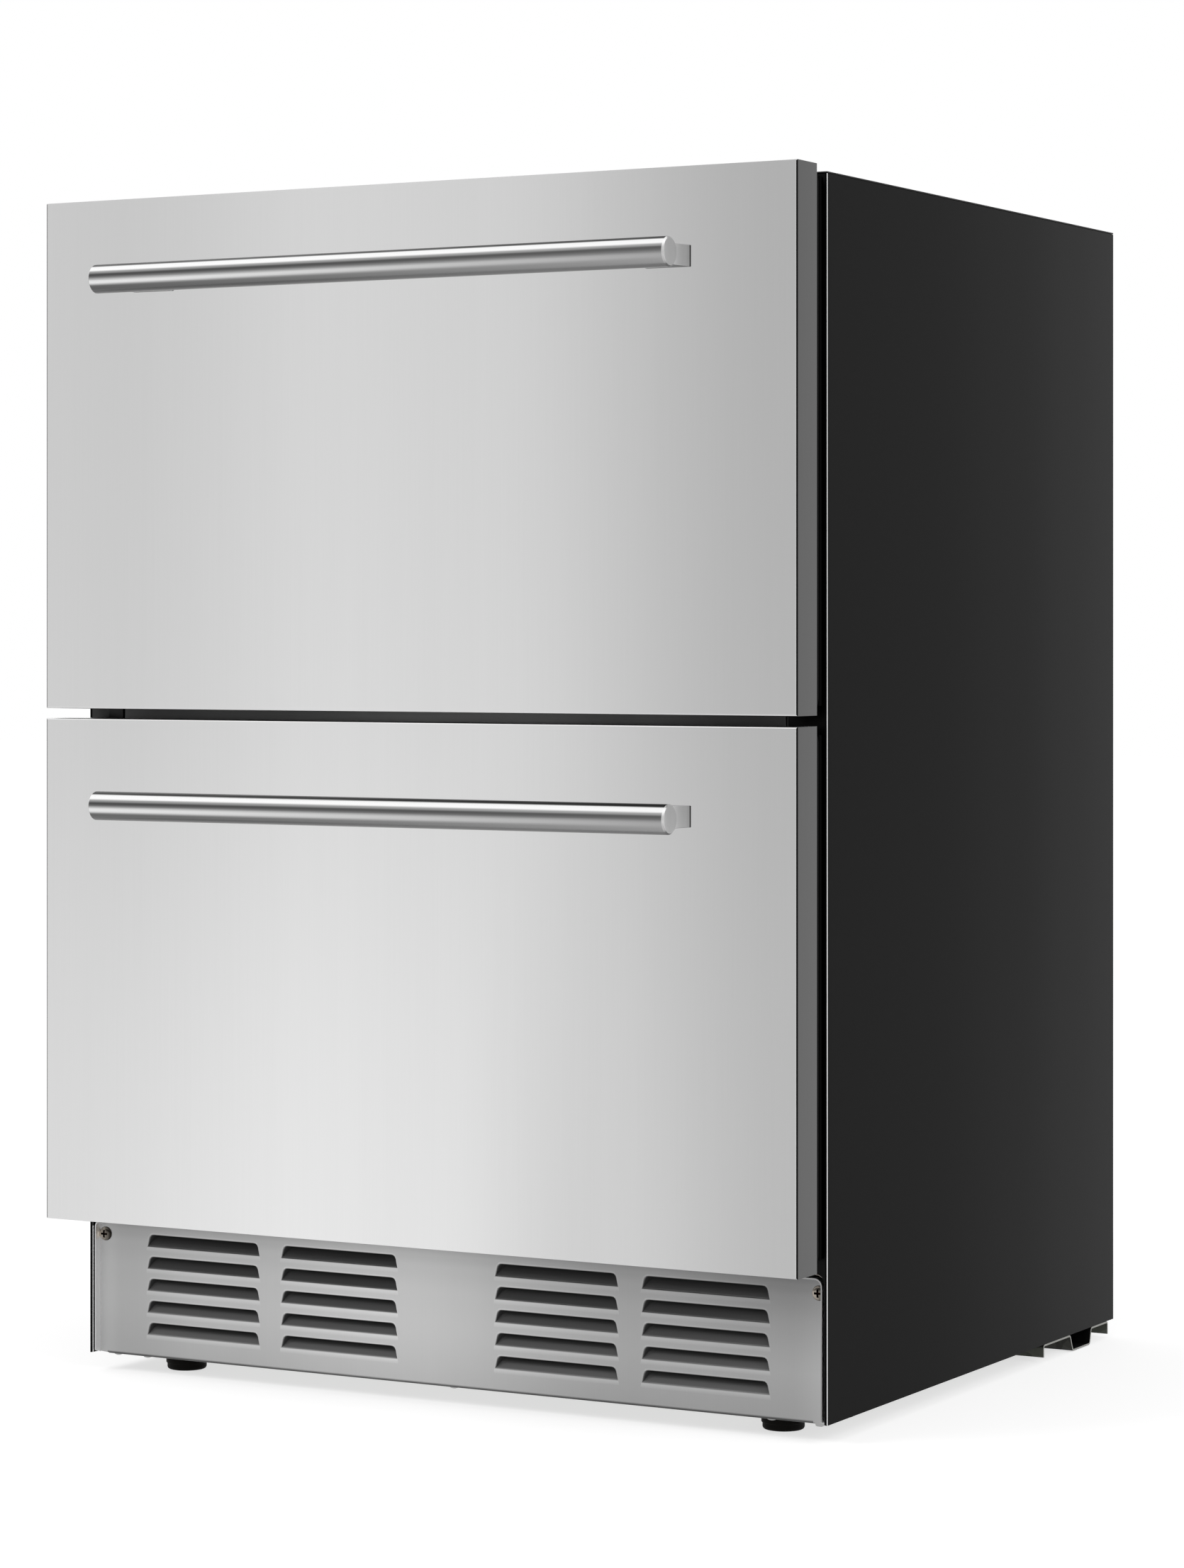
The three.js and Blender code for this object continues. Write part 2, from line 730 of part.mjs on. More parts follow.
// One open tub: a wide upper part that stands on the rails' ledges over a narrower well.
function binTub([bottom, top], railHeight, wellRear, stepBottom) {
  const shoulder = railHeight - hatHalf + LEDGE_SHEET + SEAT;
  const tub = (inset) => {
    const floor = inset === 0 ? 0 : BIN_WALL;
    const corner = BIN_CORNER - inset;
    const well = alongZ(
      roundedRect(
        [-binWaistHalf + inset, binWaistHalf - inset],
        [BIN_FRONT + inset, wellRear - inset],
        corner,
      ),
      bottom + floor,
      top + floor,
    );
    const upper = alongZ(
      roundedRect(
        [-binHalf + inset, binHalf - inset],
        [BIN_FRONT + inset, BIN_REAR - inset],
        corner,
      ),
      shoulder + floor,
      top + floor,
    );
    const step = alongZ(
      roundedRect(
        [-binWaistHalf + inset, binWaistHalf - inset],
        [BIN_FRONT + inset, BIN_REAR - inset],
        corner,
      ),
      stepBottom + floor,
      top + floor,
    );
    return joined([well, upper, step]);
  };
  const rim = alongZ(
    roundedRect(
      [-binHalf, binHalf],
      [BIN_FRONT, BIN_REAR + BIN_RIM],
      BIN_CORNER,
    ),
    top - BIN_RIM_HEIGHT,
    top,
  );
  return joined([tub(0), rim]).subtract(tub(BIN_WALL));
}

// ---------------------------------------------------------------- one drawer, with its rails

function drawer(name, rows, railHeight, bin) {
  const parent = group(`${name}_drawer`);
  piece(parent, `${name}_front_skin`, frontSkin(rows), brushedSteel);
  piece(parent, `${name}_inner_panel`, frontPanel(rows), blackPlastic);
  piece(parent, `${name}_gasket`, gasketRing(rows), blackRubber);
  piece(parent, `${name}_bin`, bin, binPlastic);

  const handle = group(`${name}_handle`, parent, [0, 0, rows[1] - HANDLE_DROP]);
  const postX = HANDLE_LENGTH / 2 - POST_FROM_END - POST_WIDTH / 2;
  piece(handle, `${name}_handle_bar`, handleBar(), polishedSteel);
  pieceOnBothSides(handle, `${name}_handle_post`, handlePost(), polishedSteel, [postX, 0, 0]);

  const middle = channelSection(middleWall, middleHalf, middleDepth);
  const outer = channelSection(SEAT, outerHalf, RAIL_DEPTH);
  const rails = group(`${name}_rails`, parent, [0, 0, railHeight]);
  pieceOnBothSides(rails, `${name}_drawer_rail`, drawerRail(), railSteel);
  pieceOnBothSides(
    rails,
    `${name}_middle_rail`,
    railBar(middle, RAIL_FRONT + 2, railRear - 2),
    railSteel,
  );
  pieceOnBothSides(
    rails,
    `${name}_cabinet_rail`,
    railBar(outer, RAIL_FRONT, railRear),
    railSteel,
  );
}

// ---------------------------------------------------------------- cabinet shell

// Painted side panel: one sheet with its front, rear and bottom edges folded inwards, and its
// front fold set back beside the grille.
function sidePanel() {
  const inside = cabinetHalf - SHEET;
  const flangeEnd = cabinetHalf - SHELL_FLANGE;
  const rear = cabinetRear;
  const top = cabinetTop - SHEET - SEAT;
  const outer = roundedRect([flangeEnd - 10, cabinetHalf], [flangeFront, rear], SHEET_BEND);
  const hollow = roundedRect(
    [flangeEnd - 20, inside],
    [flangeFront + SHEET, rear - SHEET],
    SHEET_BEND - SHEET / 2,
  );
  const folded = alongZ(outer, CABINET_BOTTOM, top, 3).subtract(
    alongZ(hollow, CABINET_BOTTOM + SHEET, top + 1, 3),
  );
  const pastFlange = box(
    [flangeEnd - 11, flangeEnd],
    [flangeFront - 1, rear + 1],
    [CABINET_BOTTOM - 1, top + 1],
  );
  const frontEdge = box(
    [inside, cabinetHalf],
    [sidePanelFront, flangeFront + SHEET_BEND],
    [CABINET_BOTTOM, top],
  );
  const grilleRecess = box(
    [flangeEnd - 11, inside],
    [flangeFront - 1, grilleRear + SEAT],
    [CABINET_BOTTOM - 1, grilleTop + SEAT],
  );
  const lowerFlange = box(
    [flangeEnd, inside + SHEET / 2],
    [grilleRear + SEAT, lowerFlangeRear],
    [CABINET_BOTTOM, grilleTop + SEAT],
  );
  const rivet = dimple(cabinetHalf - 6, FOOT_FRONT, CABINET_BOTTOM + SHEET / 2);
  const screwHole = rod(
    SCREW_SHANK_RADIUS + SEAT,
    SCREW_LENGTH,
    [screwX, grilleFront - 2, screwZ],
    Y,
    12,
  );
  const notched = cut(joined([folded, frontEdge, rivet]), [pastFlange, grilleRecess]);
  return cut(joined([notched, lowerFlange]), [screwHole]);
}

// A shallow pressed dome under a sheet, its crown downwards.
function dimple(x, y, level) {
  const rise = level - CABINET_BOTTOM + DIMPLE_HEIGHT;
  const crown = [
    [DIMPLE_RADIUS * 0.45, -rise],
    [DIMPLE_RADIUS * 0.85, -rise + DIMPLE_HEIGHT * 0.4],
    [DIMPLE_RADIUS, -rise + DIMPLE_HEIGHT],
    [DIMPLE_RADIUS, 0],
  ];
  return turned(crown, [x, y, level], Z, 12);
}

// Lid sheet over the side panels, with a short fold down at each edge inside them.
function topPanel() {
  const sheet = alongZ(
    roundedRect([-cabinetHalf, cabinetHalf], [cabinetFront, cabinetRear], SHEET_BEND),
    cabinetTop - SHEET,
    cabinetTop,
    3,
  );
  const folds = [-1, 1].map((side) =>
    box(
      side < 0
        ? [-shellInsideHalf, -shellInsideHalf + SHEET]
        : [shellInsideHalf - SHEET, shellInsideHalf],
      [shellInsideFront, shellInsideRear],
      [cabinetTop - TOP_FOLD, cabinetTop - SHEET / 2],
    ),
  );
  return joined([sheet, ...folds]);
}

// Bright bare edge that shows down each side of the cabinet's front.
function edgeTrim() {
  const section = roundedRect(
    [cabinetHalf - TRIM_WIDTH, cabinetHalf],
    [cabinetFront, cabinetFront + TRIM_DEPTH],
    TRIM_WIDTH / 3,
  );
  return alongZ(section, CABINET_BOTTOM, cabinetTop - SHEET - SEAT, 2);
}

// Black face frame that the gaskets close on, with two thin cheeks beside the recessed grille.
function faceFrame() {
  const front = cabinetFront + SEAT;
  const outline = polygon([
    [-frameHalf, CABINET_BOTTOM],
    [frameHalf, CABINET_BOTTOM],
    [frameHalf, frameTop],
    [-frameHalf, frameTop],
  ]);
  const recessHalf = frameHalf - FRAME_CHEEK;
  const recess = roundedRect(
    [-recessHalf, recessHalf],
    [CABINET_BOTTOM - 2 * GRILLE_CORNER, GRILLE_TOP],
    GRILLE_CORNER,
  );
  outline.holes.push(
    roundedRect([-openingHalf, openingHalf], [openingBottom, openingTop], FRAME_CORNER),
  );
  const frame = alongY(outline, front, frameRear).subtract(
    alongY(recess, front - 1, frameRear + 1, 4),
  );
  const cheeks = [-1, 1].map((side) =>
    box(
      side < 0 ? [-frameHalf, -recessHalf] : [recessHalf, frameHalf],
      [front, grilleRear],
      [CABINET_BOTTOM, grilleTop],
    ),
  );
  return joined([frame, ...cheeks]);
}

// Crossbar between the two drawers: a cap level with the face frame, and a core between the liner's walls.
function mullionBar() {
  const rows = [mullionMiddle - MULLION_HEIGHT / 2, mullionMiddle + MULLION_HEIGHT / 2];
  const front = cabinetFront + SEAT;
  const capHalf = openingHalf - MULLION_JOINT;
  const coreHalf = linerHalf - SEAT;
  const cap = box([-capHalf, capHalf], [front, frameRear], rows);
  const core = alongX(
    roundedRect([front + 1, front + MULLION_DEPTH], rows, 4),
    -coreHalf,
    coreHalf,
    3,
  );
  const inFrontOfLiner = box([-cabinetHalf, cabinetHalf], [front, frameRear], [0, cabinetTop]);
  return core.subtract(inFrontOfLiner).add(cap);
}

// The food liner's outline in the YZ plane, grown by the given amount, open to the front.
function linerOutline(grow, front) {
  return roundedPolygon(
    [
      [front, linerFloor - grow],
      [LINER_STEP_FRONT + grow, linerFloor - grow],
      [LINER_STEP_FRONT + grow, LINER_STEP_TOP - grow],
      [linerRear + grow, LINER_STEP_TOP - grow],
      [linerRear + grow, linerCeiling + grow],
      [front, linerCeiling + grow],
    ],
    LINER_CORNER,
  );
}

const beyondFront = cabinetFront - 40;
const behindFrame = (body) =>
  body.subtract(
    box(
      [-cabinetHalf * 2, cabinetHalf * 2],
      [beyondFront - 10, linerFront],
      [0, cabinetTop * 2],
    ),
  );

function foodLiner() {
  const outside = alongX(
    linerOutline(LINER_SHEET, beyondFront),
    -linerHalf - LINER_SHEET,
    linerHalf + LINER_SHEET,
  );
  const inside = alongX(linerOutline(0, beyondFront), -linerHalf, linerHalf);
  return behindFrame(outside.subtract(inside));
}

// Foam between the shell and the liner, notched at the rear for the machine bay.
function insulation() {
  const half = shellInsideHalf;
  const rear = shellInsideRear;
  const front = shellInsideFront;
  const bottom = GRILLE_TOP + SEAT;
  const block = alongX(
    polygon([
      [front, bottom],
      [BAY_STEP_FRONT, bottom],
      [BAY_STEP_FRONT, BAY_STEP_TOP + SEAT],
      [rear, BAY_STEP_TOP + SEAT],
      [rear, cabinetTop - TOP_FOLD - SEAT],
      [front, cabinetTop - TOP_FOLD - SEAT],
    ]),
    -half,
    half,
  );
  const capHalf = half - SHEET - SEAT;
  const cap = box(
    [-capHalf, capHalf],
    [front, rear],
    [cabinetTop - TOP_FOLD - 1, cabinetTop - SHEET - SEAT],
  );
  const grow = LINER_SHEET + SEAT;
  const cavity = alongX(linerOutline(grow, beyondFront), -linerHalf - grow, linerHalf + grow);
  return behindFrame(block.add(cap).subtract(cavity));
}

// Stepped sheet that closes the machine bay from above.
function bayCeiling() {
  const t = BAY_CEILING_SHEET;
  const front = shellInsideFront;
  const rear = shellInsideRear;
  const low = GRILLE_TOP - t;
  const step = BAY_STEP_FRONT + SEAT;
  const section = polygon([
    [front, low],
    [step + t, low],
    [step + t, BAY_STEP_TOP - t],
    [rear, BAY_STEP_TOP - t],
    [rear, BAY_STEP_TOP],
    [step, BAY_STEP_TOP],
    [step, GRILLE_TOP],
    [front, GRILLE_TOP],
  ]);
  return alongX(section, -shellInsideHalf, shellInsideHalf);
}

function rearPanel() {
  const half = cabinetHalf - SHELL_FLANGE - SEAT;
  return box(
    [-half, half],
    [cabinetRear - SHEET, cabinetRear],
    [BAY_STEP_TOP + SEAT, cabinetTop - SHEET - SEAT],
  );
}

// Cover over the rear of the machine bay, with two banks of slots and a cable gland hole.
function rearCover() {
  const half = cabinetHalf - SHELL_FLANGE - SEAT;
  const bottom = CABINET_BOTTOM + SEAT;
  const shape = polygon([
    [-half, bottom],
    [half, bottom],
    [half, BAY_STEP_TOP - SEAT],
    [-half, BAY_STEP_TOP - SEAT],
  ]);
  const slotHalf = COVER_SLOT_PITCH * 0.22;
  const slotLow = bottom + 70;
  const slotHigh = BAY_STEP_TOP - 45;
  for (const bank of [-1, 1]) {
    for (let i = 0; i < COVER_SLOTS; i++) {
      const x = bank * (half * 0.5) + (i - (COVER_SLOTS - 1) / 2) * COVER_SLOT_PITCH;
      shape.holes.push(
        roundedRect([x - slotHalf, x + slotHalf], [slotLow, slotHigh], slotHalf),
      );
    }
  }
  shape.holes.push(circle(GLAND_RADIUS, glandCentre));
  return alongY(shape, cabinetRear - SHEET, cabinetRear, 2);
}

// Rubber gland where a supply cord would leave, closed, and level with the cover.
function cableGland() {
  const [x, z] = glandCentre;
  const depth = SHEET + 6;
  const radius = GLAND_RADIUS - SEAT;
  const profile = [
    [radius + 3, 0],
    [radius + 3, depth - SHEET - SEAT],
    [radius, depth - SHEET - SEAT],
    [radius, depth - 0.4],
    [radius - 0.4, depth],
  ];
  return turned(profile, [x, cabinetRear - depth, z], Y);
}

// ---------------------------------------------------------------- kick grille

// The louvre's opening as a ring of points: straight foot, flanks leaning in, round upper corners.
function louvreRing(centreX, foot, [y, rise, inset, grow]) {
  const half = LOUVRE_LENGTH / 2 - inset + grow;
  const low = foot + rise - grow;
  const high = foot + LOUVRE_HEIGHT + grow + (rise > 0 ? 2 : 0);
  const shoulder = half - LOUVRE_FLARE;
  const corner = LOUVRE_CORNER;
  const right = [
    [half, low],
    [shoulder + corner * 0.12, high - corner * 0.85],
    [shoulder - corner * 0.1, high - corner * 0.42],
    [shoulder - corner * 0.5, high - corner * 0.1],
    [shoulder - corner, high],
  ];
  const left = right.map(([x, z]) => [-x, z]).reverse();
  return [...right, ...left].map(([x, z]) => new THREE.Vector3(centreX + x, y, z));
}

// Scoop pressed in from the foot of each opening and cut free along its top.
function louvreScoop(centreX, foot) {
  const back = grilleFront + LOUVRE_DEPTH;
  const t = GRILLE_SHEET;
  const bend = [LOUVRE_DEPTH * 0.4, LOUVRE_RISE * 0.28, LOUVRE_TAPER * 0.34];
  const outer = lofted([
    louvreRing(centreX, foot, [grilleFront + t / 2, 0, 0, t]),
    louvreRing(centreX, foot, [grilleFront + bend[0], bend[1], bend[2], t]),
    louvreRing(centreX, foot, [back + t, LOUVRE_RISE, LOUVRE_TAPER, t]),
  ]);
  const inner = lofted([
    louvreRing(centreX, foot, [grilleFront - 1, 0, 0, 0]),
    louvreRing(centreX, foot, [grilleFront + t / 2, 0, 0, 0]),
    louvreRing(centreX, foot, [grilleFront + bend[0], bend[1], bend[2], 0]),
    louvreRing(centreX, foot, [back, LOUVRE_RISE, LOUVRE_TAPER, 0]),
  ]);
  const reach = LOUVRE_LENGTH;
  const openTop = box(
    [centreX - reach, centreX + reach],
    [grilleRear, back + 3 * t],
    [foot + LOUVRE_HEIGHT, foot + 2 * LOUVRE_HEIGHT],
  );
  return { outer: outer.subtract(openTop), inner };
}

function kickGrille() {
  const plate = box(
    [-grilleHalf, grilleHalf],
    [grilleFront, grilleRear],
    [grilleBottom, grilleTop],
  );
  const flangeHalf = cabinetHalf - SHELL_FLANGE - 2;
  const flange = box(
    [-flangeHalf, flangeHalf],
    [grilleFront, grilleFront + GRILLE_FLANGE],
    [grilleBottom, grilleBottom + GRILLE_SHEET],
  );
  const tabTop = grilleBottom + 2 * CORNER_TAB_DROP;
  const tab = alongY(
    roundedRect(
      [grilleHalf - CORNER_TAB_WIDTH, grilleHalf],
      [grilleBottom - CORNER_TAB_DROP, tabTop],
      CORNER_TAB_DROP,
    ),
    grilleFront,
    grilleRear,
    3,
  );
  const dimplePlaces = [
    ...DIMPLE_INSETS.map((inset) => -grilleHalf + inset),
    DIMPLE_MIDDLE,
    grilleHalf - DIMPLE_RIGHT_INSET,
  ];
  const dimples = dimplePlaces.map((x) =>
    dimple(x, grilleFront + GRILLE_FLANGE / 2, grilleBottom + GRILLE_SHEET / 2),
  );
  const near = LOUVRE_INNER_START + LOUVRE_LENGTH / 2;
  const far = near + LOUVRE_LENGTH + LOUVRE_GROUP_GAP;
  const scoops = [];
  for (const centreX of [-far, -near, near, far]) {
    for (let row = 0; row < LOUVRE_ROWS; row++) {
      scoops.push(louvreScoop(centreX, LOUVRE_LOWEST + row * LOUVRE_PITCH));
    }
  }
  const scoopShells = scoops.map(({ outer }) => outer);
  const sheet = joined([plate, flange, tab, ...dimples, ...scoopShells]);
  const screwHoles = [-1, 1].map((side) =>
    rod(SCREW_SHANK_RADIUS + SEAT, 10, [side * screwX, grilleFront - 5, screwZ], Y, 12),
  );
  return cut(sheet, [...scoops.map(({ inner }) => inner), ...screwHoles]);
}

// Pan-head screw with a cross recess, its head on the plane it holds.
function grilleScrew() {
  const profile = [
    [SCREW_HEAD_RADIUS * 0.5, -SCREW_HEAD_HEIGHT],
    [SCREW_HEAD_RADIUS * 0.86, -SCREW_HEAD_HEIGHT * 0.68],
    [SCREW_HEAD_RADIUS, -SCREW_HEAD_HEIGHT * 0.2],
    [SCREW_HEAD_RADIUS, 0],
    [SCREW_SHANK_RADIUS, 0],
    [SCREW_SHANK_RADIUS, SCREW_LENGTH],
  ];
  const body = turned(profile, [0, 0, 0], Y, 20);
  const slotLength = SCREW_HEAD_RADIUS * 0.5;
  const slotWidth = SCREW_HEAD_RADIUS * 0.12;
  const slots = [
    [slotLength, slotWidth],
    [slotWidth, slotLength],
  ].map(([x, z]) =>
    box([-x, x], [-SCREW_HEAD_HEIGHT - 1, -SCREW_HEAD_HEIGHT * 0.25], [-z, z]),
  );
  return cut(body, slots);
}

// ---------------------------------------------------------------- base and feet

// Nut boss on a base sheet, for a foot's stud, and the hole through both.
const boss = (x, y, sheetTop) =>
  rod(BOSS_RADIUS, BOSS_HEIGHT + 1, [x, y, sheetTop - 1], Z, 16);
const studHole = (x, y) => rod(STUD_RADIUS + SEAT, STUD_TOP + 10, [x, y, 0], Z, 16);

function basePan() {
  const t = BASE_SHEET;
  const front = lowerFlangeRear + SEAT;
  const rear = CHANNEL_FRONT - SEAT;
  const top = panFloor + t;
  const section = polygon([
    [front, panFloor],
    [rear, panFloor],
    [rear, panFloor + PAN_LIP],
    [rear - t, panFloor + PAN_LIP],
    [rear - t, top],
    [front + t, top],
    [front + t, panFloor + PAN_LIP],
    [front, panFloor + PAN_LIP],
  ]);
  const sheet = alongX(section, -shellInsideHalf, shellInsideHalf);
  const bosses = [-1, 1].map((side) => boss(side * footSide, FOOT_FRONT, top));
  const holes = [-1, 1].map((side) => studHole(side * footSide, FOOT_FRONT));
  return cut(joined([sheet, ...bosses]), holes);
}

// Galvanised hat channel across the rear: flange, ledge, well, ledge and flange.
function rearChannel() {
  const t = BASE_SHEET;
  const low = CHANNEL_FLOOR_GAP;
  const lip = CHANNEL_FLANGE_GAP;
  const top = channelTop;
  const under = top - t;
  const d = CHANNEL_DRAFT;
  const section = roundedPolygon(
    [
      [CHANNEL_FRONT, lip],
      [CHANNEL_FRONT + t, lip],
      [CHANNEL_FRONT + t, under],
      [CHANNEL_WELL_FRONT, under],
      [CHANNEL_WELL_FRONT + d, low],
      [CHANNEL_WELL_REAR - d / 2, low],
      [CHANNEL_WELL_REAR, under],
      [CHANNEL_REAR - t, under],
      [CHANNEL_REAR - t, lip],
      [CHANNEL_REAR, lip],
      [CHANNEL_REAR, top],
      [CHANNEL_WELL_REAR - t, top],
      [CHANNEL_WELL_REAR - d / 2 - t, low + t],
      [CHANNEL_WELL_FRONT + d + t, low + t],
      [CHANNEL_WELL_FRONT + t, top],
      [CHANNEL_FRONT, top],
    ],
    0.8,
  );
  const strip = alongX(section, -baseHalf, baseHalf, 2);
  const bosses = [-1, 1].map((side) => boss(side * footSide, FOOT_REAR, top));
  const holes = [-1, 1].map((side) => studHole(side * footSide, FOOT_REAR));
  return cut(joined([strip, ...bosses]), holes);
}

// Levelling foot: straight collar over a narrower body with a rounded sole, on a stud.
function levellingFoot() {
  const shoulder = FOOT_HEIGHT - FOOT_COLLAR_HEIGHT;
  return turned(
    [
      [FOOT_SOLE_RADIUS, 0],
      [(FOOT_SOLE_RADIUS + FOOT_BODY_RADIUS) / 2 + 0.3, shoulder * 0.12],
      [FOOT_BODY_RADIUS, shoulder * 0.45],
      [FOOT_BODY_RADIUS, shoulder],
      [FOOT_RADIUS, shoulder],
      [FOOT_RADIUS, FOOT_HEIGHT - FOOT_CHAMFER],
      [FOOT_RADIUS - FOOT_CHAMFER, FOOT_HEIGHT],
      [STUD_RADIUS, FOOT_HEIGHT],
      [STUD_RADIUS, STUD_TOP - 1],
      [STUD_RADIUS - 1, STUD_TOP],
    ],
    [0, 0, 0],
    Z,
    24,
  );
}

// ---------------------------------------------------------------- machine bay

// Hermetic compressor on rubber grommets, standing on the rear channel's two ledges.
function compressor() {
  const y = (CHANNEL_WELL_FRONT + CHANNEL_WELL_REAR) / 2;
  const base = channelTop + SEAT + COMPRESSOR_GROMMET;
  const high = COMPRESSOR_HEIGHT;
  const half = COMPRESSOR_WIDTH / 2;
  const profile = [
    [half * 0.55, 0],
    [half * 0.86, 8],
    [half * 0.95, 26],
    [half * 0.95, high * 0.5],
    [half, high * 0.5],
    [half, high * 0.5 + 5],
    [half * 0.93, high * 0.5 + 5],
    [half * 0.9, high * 0.72],
    [half * 0.72, high * 0.9],
    [half * 0.35, high],
  ];
  const points = [[0, 0], ...profile, [0, high]].map(([r, h]) => new THREE.Vector2(r, h));
  const shellGeometry = new THREE.LatheGeometry(points, 32);
  shellGeometry.rotateX(Math.PI / 2);
  shellGeometry.scale(1, COMPRESSOR_DEPTH / COMPRESSOR_WIDTH, 1);
  shellGeometry.translate(compressorX, y, base + 4);
  const shell = solid(shellGeometry);
  const footHalf = half * 0.92;
  const plate = box(
    [compressorX - footHalf, compressorX + footHalf],
    [y - COMPRESSOR_DEPTH * 0.45, y + COMPRESSOR_DEPTH * 0.45],
    [base, base + 5],
  );
  const grommets = [];
  for (const sx of [-1, 1]) {
    for (const gy of [(CHANNEL_FRONT + CHANNEL_WELL_FRONT) / 2, CHANNEL_WELL_REAR + 13]) {
      const at = [compressorX + sx * footHalf * 0.82, gy, channelTop + SEAT];
      grommets.push(rod(8, COMPRESSOR_GROMMET + 1, at, Z, 12));
    }
  }
  const terminalBox = box(
    [compressorX - half - 14, compressorX - half * 0.8],
    [y - 24, y + 24],
    [base + high * 0.25, base + high * 0.62],
  );
  const processTube = rod(3.5, 40, [compressorX + half * 0.4, y + 10, base + high * 0.8], Z, 8);
  return joined([shell, plate, terminalBox, processTube, ...grommets]);
}

// Finned heat exchanger: thin fins between two end plates, with the tubes' return bends outside.
function finnedCoil([x0, x1], [y0, y1], [z0, z1], pitch, tubeRows) {
  const fin = 1;
  const plates = [
    box([x0, x1], [y0 + 2, y1 - 2], [z0, z0 + 2]),
    box([x0, x1], [y0 + 2, y1 - 2], [z1 - 2, z1]),
  ];
  const count = Math.floor((x1 - x0) / pitch);
  for (let i = 0; i <= count; i++) {
    const x = x0 + (i * (x1 - x0 - fin)) / count;
    plates.push(box([x, x + fin], [y0, y1], [z0 + 1, z1 - 1]));
  }
  const bends = [];
  const rowPitch = (z1 - z0) / tubeRows;
  const middle = (y0 + y1) / 2;
  for (let row = 0; row < tubeRows; row++) {
    const centre = z0 + rowPitch * (row + 0.5);
    const curve = new THREE.QuadraticBezierCurve3(
      new THREE.Vector3(x1 - fin / 2, middle, centre - rowPitch * 0.3),
      new THREE.Vector3(x1 + rowPitch * 1.1, middle, centre),
      new THREE.Vector3(x1 - fin / 2, middle, centre + rowPitch * 0.3),
    );
    const section = circle(3.2, [0, 0], 6);
    const geometry = new THREE.ExtrudeGeometry(section, {
      steps: 4,
      bevelEnabled: false,
      extrudePath: curve,
    });
    bends.push(solid(geometry));
  }
  return joined([...plates, ...bends]);
}

// Axial fan that turns about Y through its own middle: a domed hub and pitched blades.
function fanRotor(radius, hubRadius, depth) {
  const hub = turned(
    [
      [hubRadius * 0.8, -depth / 2 - 2],
      [hubRadius, -depth / 2 + 1],
      [hubRadius, depth / 2],
    ],
    [0, 0, 0],
    Y,
    20,
  );
  const blades = [];
  for (let i = 0; i < FAN_BLADES; i++) {
    const turn = (i / FAN_BLADES) * 2 * Math.PI;
    const ring = (r, chord, pitch, thick) => {
      const along = new THREE.Vector3(Math.cos(pitch), Math.sin(pitch), 0);
      const across = new THREE.Vector3(-Math.sin(pitch), Math.cos(pitch), 0);
      const corners = [
        [-chord, -thick],
        [chord, -thick],
        [chord, thick],
        [-chord, thick],
      ];
      return corners.map(([c, t]) =>
        new THREE.Vector3(0, 0, r)
          .addScaledVector(along, c / 2)
          .addScaledVector(across, t / 2)
          .applyAxisAngle(Y, turn),
      );
    };
    blades.push(
      lofted([
        ring(hubRadius * 0.7, hubRadius * 1.1, 0.62, 1.6),
        ring((hubRadius + radius) / 2, radius * 0.62, 0.5, 1.5),
        ring(radius * 0.97, radius * 0.7, 0.38, 1.2),
      ]),
    );
  }
  return joined([hub, ...blades]);
}

const condenserFanPlace = [
  (condenserLeft + condenserRight) / 2,
  CONDENSER_FRONT + CONDENSER_DEPTH + SHROUD_BEHIND,
  (panFloor + BASE_SHEET + GRILLE_TOP - BAY_CEILING_SHEET) / 2,
];

// Plate with a round mouth behind the condenser, and a three-legged spider that holds the motor.
function fanShroud() {
  const [x, y, z] = condenserFanPlace;
  const bottom = panFloor + BASE_SHEET + SEAT;
  const top = GRILLE_TOP - BAY_CEILING_SHEET - SEAT;
  const shape = polygon([
    [condenserLeft, bottom],
    [condenserRight, bottom],
    [condenserRight, top],
    [condenserLeft, top],
  ]);
  shape.holes.push(circle(FAN_RADIUS + FAN_CLEARANCE, [x, z]));
  const plate = alongY(shape, y - SHROUD_SHEET / 2, y + SHROUD_SHEET / 2);
  const motorFront = y + 12;
  const motor = rod(MOTOR_RADIUS, MOTOR_LENGTH, [x, motorFront, z], Y, 16);
  const legs = [0, 1, 2].map((i) => {
    const turn = (i / 3) * 2 * Math.PI + Math.PI / 2;
    const reach = FAN_RADIUS + FAN_CLEARANCE + 2;
    const leg = new THREE.Quaternion().setFromAxisAngle(Y, -turn);
    const arm = new THREE.BoxGeometry(reach, 4, 6);
    arm.translate(reach / 2, motorFront + 4, 0);
    arm.applyQuaternion(leg);
    arm.translate(x, 0, z);
    const post = new THREE.BoxGeometry(4, motorFront + 6 - y, 6);
    post.translate(reach, (motorFront + 6 + y) / 2, 0);
    post.applyQuaternion(leg);
    post.translate(x, 0, z);
    return solid(arm).add(solid(post));
  });
  const shaft = rod(2, 12, [x, y + FAN_DEPTH / 2 + SEAT, z], Y, 8);
  return joined([plate, motor, ...legs, shaft]);
}

// Shallow tray under the liner's drain, beside the compressor.
function dripTray() {
  const bottom = channelTop + SEAT;
  const tub = (inset) =>
    alongZ(
      roundedRect(
        [dripTrayLeft + inset, dripTrayRight - inset],
        [CHANNEL_FRONT + 4 + inset, CHANNEL_REAR - 6 - inset],
        8 - inset,
      ),
      bottom + inset,
      bottom + DRIP_TRAY_HEIGHT + inset,
      3,
    );
  return tub(0).subtract(tub(2));
}

